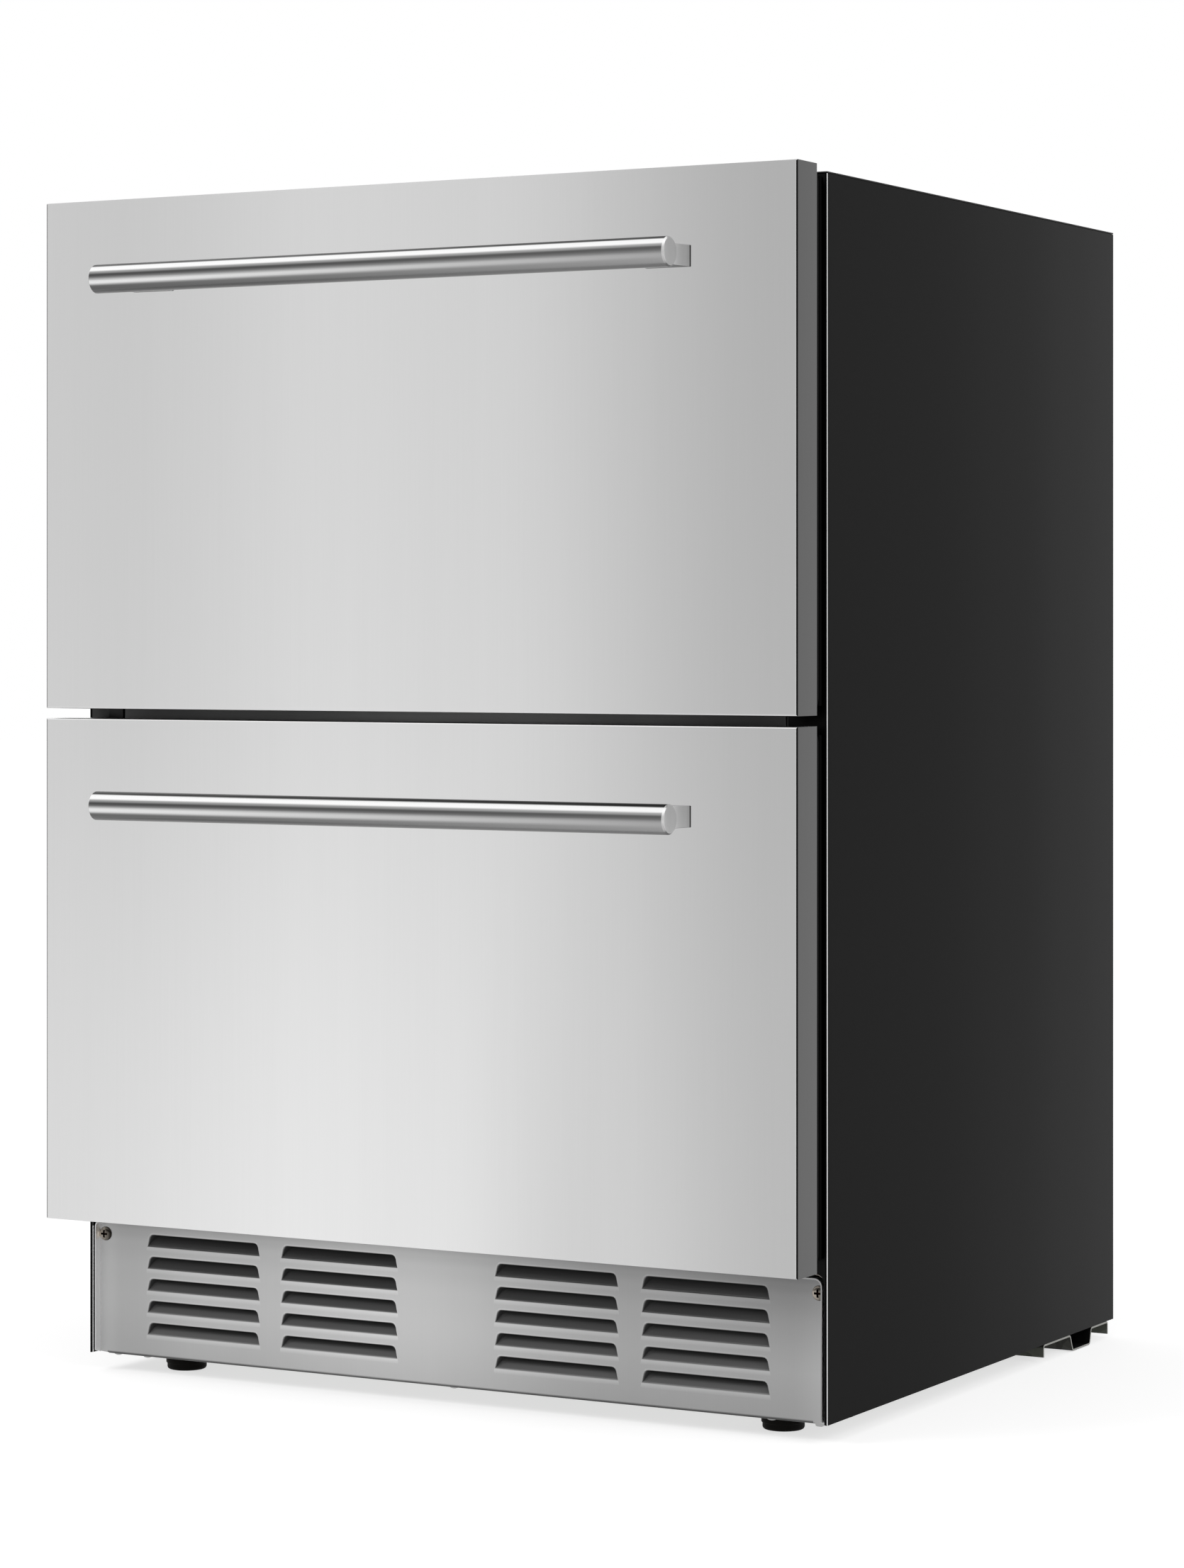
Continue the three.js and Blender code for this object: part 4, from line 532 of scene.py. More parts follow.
class Finish(Enum):
    """The finishes of the refrigerator."""

    # The fronts carry painted reflection in their bands.
    UPPER_FRONT = BrushedSheet("upper_front_steel", UPPER_PAINTED_REFLECTION, UPPER_PAINTED_REFLECTION, UPPER_HEIGHTS)
    LOWER_FRONT = BrushedSheet("lower_front_steel", UPPER_PAINTED_REFLECTION, LOWER_PAINTED_REFLECTION, LOWER_HEIGHTS)
    # The front skins' sides and insides, in painted shade.
    FRONT_SHADED_SIDE = GradedSheet(
        "front_side_painted_shade", Axis.Y, FRONT_SIDE_PAINTED_SHADE, 1.0, 0.4, 0.5, UPRIGHT_GRAIN, 0.02, 0.000004
    )
    # Painted highlight and painted dark reflection on the skins' broken corners, and a painted
    # highlight on the lower front's top hem.
    FRONT_PAINTED_HIGHLIGHT = SheetMetal("front_edge_painted_highlight", tone(200))
    FRONT_PAINTED_DARK_REFLECTION = SheetMetal("front_edge_painted_dark_reflection", tone(12))
    HEM_PAINTED_HIGHLIGHT = SheetMetal("front_hem_painted_highlight", tone(240), 0.25)
    UPPER_BAR = PolishedBar("upper_bar_steel", UPPER_BAR_HEIGHT, BAR_PAINTED_REFLECTION)
    LOWER_BAR = PolishedBar("lower_bar_steel", LOWER_BAR_HEIGHT, BAR_PAINTED_REFLECTION)
    BAR_END = SheetMetal("bar_end_steel", tone(226), 0.3, FINE, 0.015)
    UPPER_CHAMFER = PolishedBar(
        "upper_bar_chamfer", UPPER_BAR_HEIGHT, CHAMFER_PAINTED_REFLECTION, back_edge=ALL_ROUND
    )
    LOWER_CHAMFER = PolishedBar(
        "lower_bar_chamfer", LOWER_BAR_HEIGHT, CHAMFER_PAINTED_REFLECTION, back_edge=ALL_ROUND
    )
    HANDLE_POST = GradedSheet(
        "handle_post_steel", Axis.Y, POST_PAINTED_SHADING, 1.0, 0.3, 0.5, FINE, 0.02, 0.000006
    )
    # The posts' underside, in painted shade.
    POST_PAINTED_UNDERSIDE_SHADE = SheetMetal("handle_post_underside_painted_shade", tone(92), 0.35, FINE, 0.02)
    CABINET_SIDE = GradedSheet(
        "cabinet_side_paint", Axis.Y, CABINET_PAINTED_SHADING, 0.0, 0.6, 0.04, PAINT_GRAIN, 0.02, 0.00004
    )
    PAINT = Moulded("cabinet_paint", tone(36), 0.55, 0.15, 700.0)
    FRAME_PAINT = GradedSheet(
        "face_frame_paint", Axis.X, FRAME_PAINTED_SHADING, 1.0, 0.3, 0.5, PAINT_GRAIN, 0.02, 0.00002
    )
    MULLION_SHEET = GradedSheet(
        "mullion_sheet", Axis.X, MULLION_PAINTED_SHADING, 0.4, 0.45, 0.5, SHEET_GRAIN, 0.03, 0.000006
    )
    FRAME_EDGE = SheetMetal("face_frame_edge", tone(176, 168, 160), 0.3)
    # A painted highlight on the right trim's outer corner.
    TRIM_PAINTED_HIGHLIGHT = SheetMetal("trim_corner_painted_highlight", tone(224), 0.2, FINE, 0.01)
    TRIM_DARK = SheetMetal("trim_face_steel", tone(8), 0.4)
    # Painted reflection, painted shadow under the drawer, and painted shade at its pressed points.
    KICK_PLATE = BrushedSheet(
        "kick_plate_steel", KICK_TOP_PAINTED_REFLECTION_AND_SHADOW, KICK_PAINTED_REFLECTION, (0.045, 0.1), KICK_PAINTED_SHADOW, True
    )
    # Its louvres take the painted shade and highlights that their points hold.
    LOUVRE = BrushedSheet(
        "louvre_steel", LOUVRE_BANDS, LOUVRE_BANDS, KICK_HEIGHTS, pressed=True,
        roughness=0.5, metallic=0.2,
    )
    # Painted light on the kick plate's rim, against its shade; the face frame's left cheek takes it
    # too.
    KICK_RIM_PAINTED_LIGHT = SheetMetal("kick_rim_painted_light", tone(253), 0.42, UPRIGHT_GRAIN, 0.01)
    KICK_EDGE = BrushedSheet("kick_cut_edge", CUT_EDGE_PAINTED_REFLECTION, CUT_EDGE_PAINTED_REFLECTION, KICK_HEIGHTS)
    GALVANISED = Galvanised("galvanised_sheet", tone(98, 100, 95), tone(113, 115, 110))
    CHANNEL_SHEET = Galvanised("channel_sheet", tone(58, 60, 55), tone(86, 88, 82))
    CHANNEL_EDGE = SheetMetal("channel_cut_edge", tone(142, 142, 138), 0.4)
    # Painted shade: the channel's web and its well are darker copies of its sheet.
    CHANNEL_WEB_PAINTED_SHADE = Galvanised("channel_web_painted_shade", tone(36, 36, 34), tone(62, 62, 58))
    CHANNEL_WELL_PAINTED_SHADE = Galvanised("channel_well_painted_shade", tone(18), tone(30), 0.6)
    RAIL_STEEL = SheetMetal("rail_steel", tone(178, 180, 182), 0.34, (1200.0, 14.0, 1200.0))
    BLACK_PLASTIC = Moulded("black_plastic", tone(20), 0.5, 0.15)
    # Black plastic of the inner panel, made darker and without sheen as painted shade in the gap.
    PANEL_PLASTIC_AND_SHADE = Moulded("inner_panel_plastic_and_shade", tone(4), 0.6, 0.01)
    BLACK_RUBBER = Moulded("black_rubber", tone(5), 0.8, 0.04, 500.0)
    FOOT_RUBBER = Moulded("foot_rubber", tone(17, 15, 13), 0.6, 0.08, 500.0)
    LINER = Moulded("liner_plastic", tone(222, 224, 224), 0.42, 0.3, 300.0, 0.01)
    BIN = Moulded("bin_plastic", tone(226, 229, 230), 0.3, 0.35, 260.0, 0.01)
    FOAM = Moulded("insulation_foam", tone(226, 206, 150), 0.95, 0.1, 420.0, 0.08, 0.0003)
    COMPRESSOR_PAINT = Moulded("compressor_paint", tone(26), 0.35, 0.4, 400.0)
    ALUMINIUM = SheetMetal("fin_aluminium", tone(196, 198, 200), 0.36, (60.0, 900.0, 900.0))
    LAMP_LENS = Moulded("lamp_lens", tone(240, 243, 246), 0.18, 0.5, 260.0, 0.01)
    SCREW_HEAD = Domed("screw_steel", tone(255, 243, 228), SCREW_PAINTED_SHADING)
    # Painted shade in the screws' cross recess.
    SCREW_CROSS_PAINTED_SHADE = SheetMetal("screw_cross_painted_shade", tone(24, 14, 9), 0.5, FINE, 0.05)


class Palette:
    """The materials, each made when it is first asked for."""

    def __init__(self) -> None:
        """Start with no material made."""
        self.made: dict[Finish, Material] = {}

    def __getitem__(self, finish: Finish) -> Material:
        """Return the material of a finish."""
        if finish not in self.made:
            self.made[finish] = finish.value.material()
        return self.made[finish]


# ---------------------------------------------------------------- mesh steps


def bridged(mesh: Mesh, near: Ring, far: Ring, closed: bool = True, finish: int = 0) -> None:
    """Join two rings of points that match one to one.

    Args:
        mesh: The mesh that holds them.
        near: The first ring.
        far: The second ring.
        closed: Whether the last point joins the first.
        finish: The place of the new faces' finish in the piece's list.
    """
    count = len(near)
    for step in range(count if closed else count - 1):
        after = (step + 1) % count
        face = mesh.faces.new((near[step], near[after], far[after], far[step]))
        face.material_index = finish


def shaded_ring(mesh: Mesh, points: Sequence[Vector], shades: Sequence[float] = ()) -> Ring:
    """Add points that hold a painted shade or highlight each.

    Args:
        mesh: The mesh that takes them.
        points: Their places.
        shades: Their shades, or none where they all keep the full colour.

    Returns:
        The points.
    """
    layer = mesh.verts.layers.float[SHADE_LAYER]
    ring = [mesh.verts.new(point) for point in points]
    for vert, shade in zip(ring, shades or [1.0] * len(ring)):
        vert[layer] = shade
    return ring


def add_turned(mesh: Mesh, axis: Axis, centre: Vector, profile: Stops, sides: int) -> None:
    """Add a closed body turned about an axis.

    Args:
        mesh: The mesh that takes it.
        axis: The axis that it is turned about.
        centre: The point that the profile is drawn from.
        profile: Distances along the axis, each with its radius.
        sides: How many sides it has.
    """
    turns = [2 * math.pi * step / sides for step in range(sides)]
    rings = []
    for along, radius in profile:
        spots = [(radius * math.sin(turn), radius * math.cos(turn)) for turn in turns]
        points = [axis.point(along, *spot) for spot in (spots if radius else spots[:1])]
        rings.append([mesh.verts.new(centre + point) for point in points])
    for near, far in zip(rings, rings[1:]):
        if len(near) == len(far):
            bridged(mesh, near, far)
            continue
        tip, ring = (near[0], far) if len(near) == 1 else (far[0], near)
        for step in range(sides):
            mesh.faces.new((tip, ring[step], ring[(step + 1) % sides]))
    for ring in (rings[0], rings[-1]):
        if len(ring) > 1:
            mesh.faces.new(ring)


def turned_mesh(axis: Axis, centre: Vector, profile: Stops, sides: int) -> Mesh:
    """Return a body turned about an axis, as add_turned draws it, with its faces outward."""
    mesh = bmesh.new()
    add_turned(mesh, axis, centre, profile, sides)
    bmesh.ops.recalc_face_normals(mesh, faces=mesh.faces)
    return mesh


def linked_object(name: str, mesh: Mesh) -> bpy.types.Object:
    """Make an object of a mesh.

    Args:
        name: The object's name, and its mesh's.
        mesh: The mesh, which this call uses up.

    Returns:
        The object, in the scene.
    """
    data = bpy.data.meshes.new(name)
    mesh.to_mesh(data)
    mesh.free()
    obj = bpy.data.objects.new(name, data)
    bpy.context.scene.collection.objects.link(obj)
    return obj


def reworked(mesh: Mesh, kind: str, **settings: object) -> Mesh:
    """Return a mesh after one modifier.

    Args:
        mesh: The mesh, which this call uses up.
        kind: The kind of modifier.
        **settings: The modifier's own settings.

    Returns:
        The reworked mesh.
    """
    holder = linked_object("reworked", mesh)
    modifier = holder.modifiers.new("step", kind)
    for name, value in settings.items():
        setattr(modifier, name, value)
    graph = bpy.context.evaluated_depsgraph_get()
    result = bmesh.new()
    result.from_mesh(holder.evaluated_get(graph).to_mesh())
    bpy.data.meshes.remove(holder.data)
    return result


@dataclass(frozen=True)
class EdgeBreak:
    """How the edges of a piece are broken: the width and steps, and where an edge counts."""

    width: float = 0.5 * MM
    steps: int = 2
    angle: float = math.radians(35)

    def on(self, mesh: Mesh) -> Mesh:
        """Return the mesh, which this call uses up, with its edges broken."""
        spread = {"limit_method": "ANGLE", "angle_limit": self.angle, "miter_outer": "MITER_ARC"}
        size = {"width": self.width, "segments": self.steps, "use_clamp_overlap": False}
        return reworked(mesh, "BEVEL", **size, **spread)


PLAIN_EDGE = EdgeBreak()
SHEET_EDGE = EdgeBreak(0.3 * MM)
BLADE_EDGE = EdgeBreak(0.3 * MM, 1)
TRIM_EDGE = EdgeBreak(0.26 * MM, 3)
POST_EDGE = EdgeBreak(0.35 * MM, 3)
MULLION_EDGE = EdgeBreak(0.4 * MM)
THIN_EDGE = EdgeBreak(0.25 * MM, 1)
CEILING_EDGE = EdgeBreak(0.2 * MM, 1)
FIN_EDGE = EdgeBreak(0.1 * MM, 1)
DUCT_EDGE = EdgeBreak(0.4 * MM, 1)
FOAM_EDGE = EdgeBreak(0.8 * MM, 1)
MOULDED_EDGE = EdgeBreak(0.8 * MM)
ROUNDED_EDGE = EdgeBreak(1.2 * MM, 3)

# Pieces that keep their solid's form: each a node, its slot, its finish and its edges.
Pieces = tuple[tuple[str, str, Finish, EdgeBreak], ...]


@dataclass
class Frame:
    """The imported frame, and the finishes that dress it."""

    nodes: dict[str, bpy.types.Object]
    palette: Palette = field(default_factory=Palette)
    seam: float = 0.002 * MM
    flat_angle: float = math.radians(0.5)
    sharp_angle: float = math.radians(38)

    def bare_mesh(self, node: str) -> Mesh:
        """Return a copy of a solid's mesh, its flat faces joined into whole ones.

        Args:
            node: The solid's name.

        Returns:
            The copy.
        """
        mesh = bmesh.new()
        mesh.from_mesh(self.nodes[node].data)
        bmesh.ops.remove_doubles(mesh, verts=mesh.verts, dist=self.seam)
        bmesh.ops.dissolve_limit(
            mesh, angle_limit=self.flat_angle, verts=mesh.verts, edges=mesh.edges
        )
        mesh.normal_update()
        return mesh

    def piece(
        self,
        node: str,
        mesh: Mesh,
        slot: str,
        finishes: Sequence[Finish],
        chooser: Chooser | None = None,
    ) -> bpy.types.Object:
        """Make a finished piece that stands for a solid and rides with it.

        Args:
            node: The solid that it stands for.
            mesh: Its mesh, which this call uses up.
            slot: The record's material slot; not used.
            finishes: The finishes that its faces may have.
            chooser: Chooses each face's finish, or None to keep the mesh's own.

        Returns:
            The piece.
        """
        obj = linked_object(f"{node}_form", mesh)
        data = obj.data
        data.shade_smooth()
        data.set_sharp_from_angle(angle=self.sharp_angle)
        for finish in finishes:
            data.materials.append(self.palette[finish])
        if chooser is not None:
            for face in data.polygons:
                face.material_index = chooser(face.center, face.normal)
        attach(obj, self.nodes[node]["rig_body"])
        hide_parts(node)
        LOG.info("%s: %d faces", obj.name, len(data.polygons))
        return obj

    def softened(
        self,
        node: str,
        slot: str,
        finishes: Sequence[Finish],
        edge: EdgeBreak = PLAIN_EDGE,
        chooser: Chooser | None = None,
    ) -> None:
        """Make a piece from a solid's own form, with its edges broken.

        Args:
            node: The solid's name.
            slot: The record's material slot.
            finishes: The finishes that its faces may have.
            edge: How its edges are broken.
            chooser: Chooses each face's finish, or None for the first.
        """
        self.piece(node, edge.on(self.bare_mesh(node)), slot, finishes, chooser)


@dataclass
class PlainAssembly:
    """A sub-assembly with pieces that keep their solid's form."""

    pieces: Pieces = ()

    def build(self, frame: Frame) -> None:
        """Build the pieces on the frame."""
        for node, slot, finish, edge in self.pieces:
            frame.softened(node, slot, [finish], edge)


# ---------------------------------------------------------------- drawers


class Level(Enum):
    """Which of the two drawers a piece belongs to."""

    UPPER = "upper"
    LOWER = "lower"


@dataclass
class DrawerFront:
    """The folded steel skin of a drawer front, its plastic inner panel and its gasket."""

    level: Level
    bottom: float
    top: float
    half_width: float = 297.5 * MM
    depth: float = 29 * MM
    sheet: float = 1.0 * MM
    highlight_width: float = 0.45 * MM
    corner: float = 0.9 * MM
    dish: float = 0.01 * MM
    rear_break: float = 0.2 * MM

    def tray(self) -> list[tuple[float, float]]:
        """Return the rings from the face to the inside, each as an inset and a depth."""
        soft = self.corner * 0.3
        face = [(self.corner + self.highlight_width, 0.0), (self.corner, self.dish), (soft, soft)]
        side = [(0.0, self.corner), (0.0, self.depth - self.rear_break)]
        rear = [(self.rear_break, self.depth), (self.sheet, self.depth), (self.sheet, self.sheet)]
        return [*face, *side, *rear]

    def finish_of(self, band: int, side: int) -> int:
        """Choose the finish of a band of the tray on one of its sides.

        Args:
            band: The band, counted from the face.
            side: The side: 0 for the bottom, 1 for the right, 2 for the top, 3 for the left.

        Returns:
            The place of the finish in the skin's list.
        """
        # Finishes 2 and 4 are painted highlights, 3 a painted dark reflection and 1 painted shade.
        upright, upper = side in (1, 3), self.level is Level.UPPER
        if band == 0:
            return 2 if upright else 0
        if side == 2:
            return 0 if upper and band < 3 else 4
        if band > 2:
            return 1
        if upright:
            return 3
        return 2 if upper else 0

    def skin_mesh(self) -> Mesh:
        """Fold the skin as a tray that is open to the rear.

        Returns:
            The skin's mesh, each face with its place in the list of finishes.
        """
        mesh = bmesh.new()
        rings = []
        for inset, depth in self.tray():
            half, low, high = self.half_width - inset, self.bottom + inset, self.top - inset
            corners = ((-half, low), (half, low), (half, high), (-half, high))
            rings.append([mesh.verts.new((x, along_depth(0) + depth, z)) for x, z in corners])
        mesh.faces.new(rings[0])
        mesh.faces.new(rings[-1])
        for band, (near, far) in enumerate(zip(rings, rings[1:])):
            for side in range(4):
                ends = side, (side + 1) % 4
                near_side, far_side = [near[end] for end in ends], [far[end] for end in ends]
                bridged(mesh, near_side, far_side, closed=False, finish=self.finish_of(band, side))
        bmesh.ops.recalc_face_normals(mesh, faces=mesh.faces)
        return mesh

    def build(self, frame: Frame) -> None:
        """Build the front's pieces on the frame."""
        front = Finish.UPPER_FRONT if self.level is Level.UPPER else Finish.LOWER_FRONT
        lines = [Finish.FRONT_PAINTED_HIGHLIGHT, Finish.FRONT_PAINTED_DARK_REFLECTION, Finish.HEM_PAINTED_HIGHLIGHT]
        finishes = [front, Finish.FRONT_SHADED_SIDE, *lines]
        name = self.level.value
        frame.piece(f"{name}_front_skin", self.skin_mesh(), "brushed_steel", finishes)
        frame.softened(f"{name}_inner_panel", "black_plastic", [Finish.PANEL_PLASTIC_AND_SHADE])
        frame.softened(f"{name}_gasket", "black_rubber", [Finish.BLACK_RUBBER])


@dataclass
class BarHandle:
    """A round bar on two waisted posts."""

    level: Level
    height: float
    radius: float = BAR_RADIUS
    half_length: float = BAR_HALF_LENGTH
    chamfer: float = 1.1 * MM
    soft: float = 0.12 * MM
    depth: float = along_depth(-40)
    sides: int = 96
    post_share: float = 0.95
    post_lift: float = 0.35 * MM

    def profile(self) -> list[tuple[float, float]]:
        """Return the bar's profile, with its chamfers rounded off at both ends."""
        end, inner, soft = self.half_length, self.radius - self.chamfer, self.soft
        half = [
            (-end, inner - soft),
            (-end + soft * 0.6, inner + soft * 0.4),
            (-end + self.chamfer - soft, self.radius - soft * 0.8),
            (-end + self.chamfer + soft, self.radius),
        ]
        return half + [(-place, radius) for place, radius in reversed(half)]

    @staticmethod
    def bar_finish(middle: Vector, normal: Vector) -> int:
        """Choose the finish of a face of the bar: round, flat end or chamfer."""
        lean = abs(normal.x)
        return 1 if lean > 0.9 else 2 if lean > 0.3 else 0

    @staticmethod
    def post_finish(middle: Vector, normal: Vector) -> int:
        """Choose the finish of a face of a post, whose underside has painted shade."""
        return 1 if normal.z < -0.3 else 0

    def build(self, frame: Frame) -> None:
        """Build the bar and its posts on the frame."""
        name, upper = self.level.value, self.level is Level.UPPER
        bar = [Finish.UPPER_BAR if upper else Finish.LOWER_BAR, Finish.BAR_END]
        bar.append(Finish.UPPER_CHAMFER if upper else Finish.LOWER_CHAMFER)
        centre = Vector((0.0, self.depth, self.height))
        mesh = turned_mesh(Axis.X, centre, self.profile(), self.sides)
        pieces = [frame.piece(f"{name}_handle_bar", mesh, "polished_steel", bar, self.bar_finish)]
        for side in ("right", "left"):
            node = f"{name}_handle_post_{side}"
            mesh = POST_EDGE.on(frame.bare_mesh(node))
            for vert in mesh.verts:
                rise = (vert.co.z - self.height) * self.post_share
                vert.co.z = self.height + self.post_lift + rise
            post = [Finish.HANDLE_POST, Finish.POST_PAINTED_UNDERSIDE_SHADE]
            pieces.append(frame.piece(node, mesh, "polished_steel", post, self.post_finish))
        for piece in pieces:
            piece.visible_glossy = False


@dataclass
class FoodBin:
    """The moulded bin that a drawer carries."""

    level: Level

    def build(self, frame: Frame) -> None:
        """Build the bin on the frame."""
        frame.softened(f"{self.level.value}_bin", "bin_plastic", [Finish.BIN], MOULDED_EDGE)


@dataclass
class TelescopicRails:
    """The pair of three-part telescopic rails under a drawer."""

    level: Level
    members: tuple[str, ...] = ("drawer_rail", "middle_rail", "cabinet_rail")

    def build(self, frame: Frame) -> None:
        """Build the rails on the frame."""
        for member in self.members:
            for side in ("right", "left"):
                node = f"{self.level.value}_{member}_{side}"
                frame.softened(node, "rail_steel", [Finish.RAIL_STEEL], THIN_EDGE)


# ---------------------------------------------------------------- cabinet


@dataclass
class CabinetShell(PlainAssembly):
    """The painted sheet shell, its edge trims and its rear cover."""

    pieces: Pieces = (
        ("top_panel", "painted_steel", Finish.PAINT, SHEET_EDGE),
        ("rear_panel", "galvanised_steel", Finish.GALVANISED, SHEET_EDGE),
        ("rear_cover", "galvanised_steel", Finish.GALVANISED, SHEET_EDGE),
        ("cable_gland", "black_rubber", Finish.BLACK_RUBBER, PLAIN_EDGE),
    )

    @staticmethod
    def trim_finish(middle: Vector, normal: Vector) -> int:
        """Choose a trim face's finish: a painted highlight on the right trim's outer corner.

        Args:
            middle: The face's middle.
            normal: The face's normal.

        Returns:
            The place of the finish in the trim's list.
        """
        outward, forward = normal.x * math.copysign(1, middle.x), normal.y < -0.15
        # The left trim's forward faces take the cabinet side's colour, as painted shade.
        if forward and middle.x < 0:
            return 2
        if forward and outward > 0.25:
            return 0
        return 2 if outward > 0.9 else 1

    def build(self, frame: Frame) -> None:
        """Build the shell on the frame."""
        trim = [Finish.TRIM_PAINTED_HIGHLIGHT, Finish.TRIM_DARK, Finish.CABINET_SIDE]
        for side in ("right", "left"):
            frame.softened(f"side_panel_{side}", "painted_steel", [Finish.CABINET_SIDE], SHEET_EDGE)
            node = f"edge_trim_{side}"
            frame.softened(node, "polished_steel", trim, TRIM_EDGE, self.trim_finish)
        super().build(frame)


@dataclass
class DrawerOpening(PlainAssembly):
    """The face frame and the mullion that the two gaskets close on."""

    recess_half: float = 292.5 * MM
    recess_top: float = 112 * MM
    cut_edge: float = 9 * MM
    pieces: Pieces = (
        ("mullion_bar", "black_plastic", Finish.MULLION_SHEET, MULLION_EDGE),
    )

    def frame_finish(self, middle: Vector, normal: Vector) -> int:
        """Choose the finish of a face of the frame, whose recess has a bright cut edge.

        Args:
            middle: The face's middle.
            normal: The face's normal.

        Returns:
            The place of the finish in the frame's list.
        """
        # The left cheek below the recess takes the rim's painted light.
        if middle.z < self.recess_top and middle.x < -self.recess_half:
            return 2
        at_top = abs(middle.z - self.recess_top) < self.cut_edge and normal.z < -0.2
        return 1 if normal.y < -0.2 and at_top else 0

    def build(self, frame: Frame) -> None:
        """Build the opening on the frame."""
        finishes = [Finish.FRAME_PAINT, Finish.FRAME_EDGE, Finish.KICK_RIM_PAINTED_LIGHT]
        frame.softened("face_frame", "black_plastic", finishes, SHEET_EDGE, self.frame_finish)
        super().build(frame)


@dataclass
class FoodCompartment(PlainAssembly):
    """The moulded liner in its foam, with the control panel and the lamp."""

    pieces: Pieces = (
        ("food_liner", "liner_plastic", Finish.LINER, MOULDED_EDGE),
        ("insulation_foam", "foam", Finish.FOAM, FOAM_EDGE),
        ("bay_ceiling", "galvanised_steel", Finish.GALVANISED, CEILING_EDGE),
        ("control_panel", "black_plastic", Finish.BLACK_PLASTIC, PLAIN_EDGE),
        ("lamp_cover", "lamp_lens", Finish.LAMP_LENS, ROUNDED_EDGE),
    )


@dataclass(frozen=True)
class RingShape:
    """One ring of a louvre: how it differs from the opening, and its painted shade at each place.
    """

    back: float
    rise: float = 0.0
    inset: float = 0.0
    grow: float = 0.0
    grow_foot: float = 0.0
    corner: float = 3.8 * MM
    foot_corner: float = 0.15 * MM
    foot_shade: float = 1.0
    side_shade: float = 1.0
    top_shade: float = 1.0


# Places of the finishes in the kick grille's list, after the plate's own.
LOUVRE_PLACE, RIM_PLACE, EDGE_PLACE = 1, 2, 3


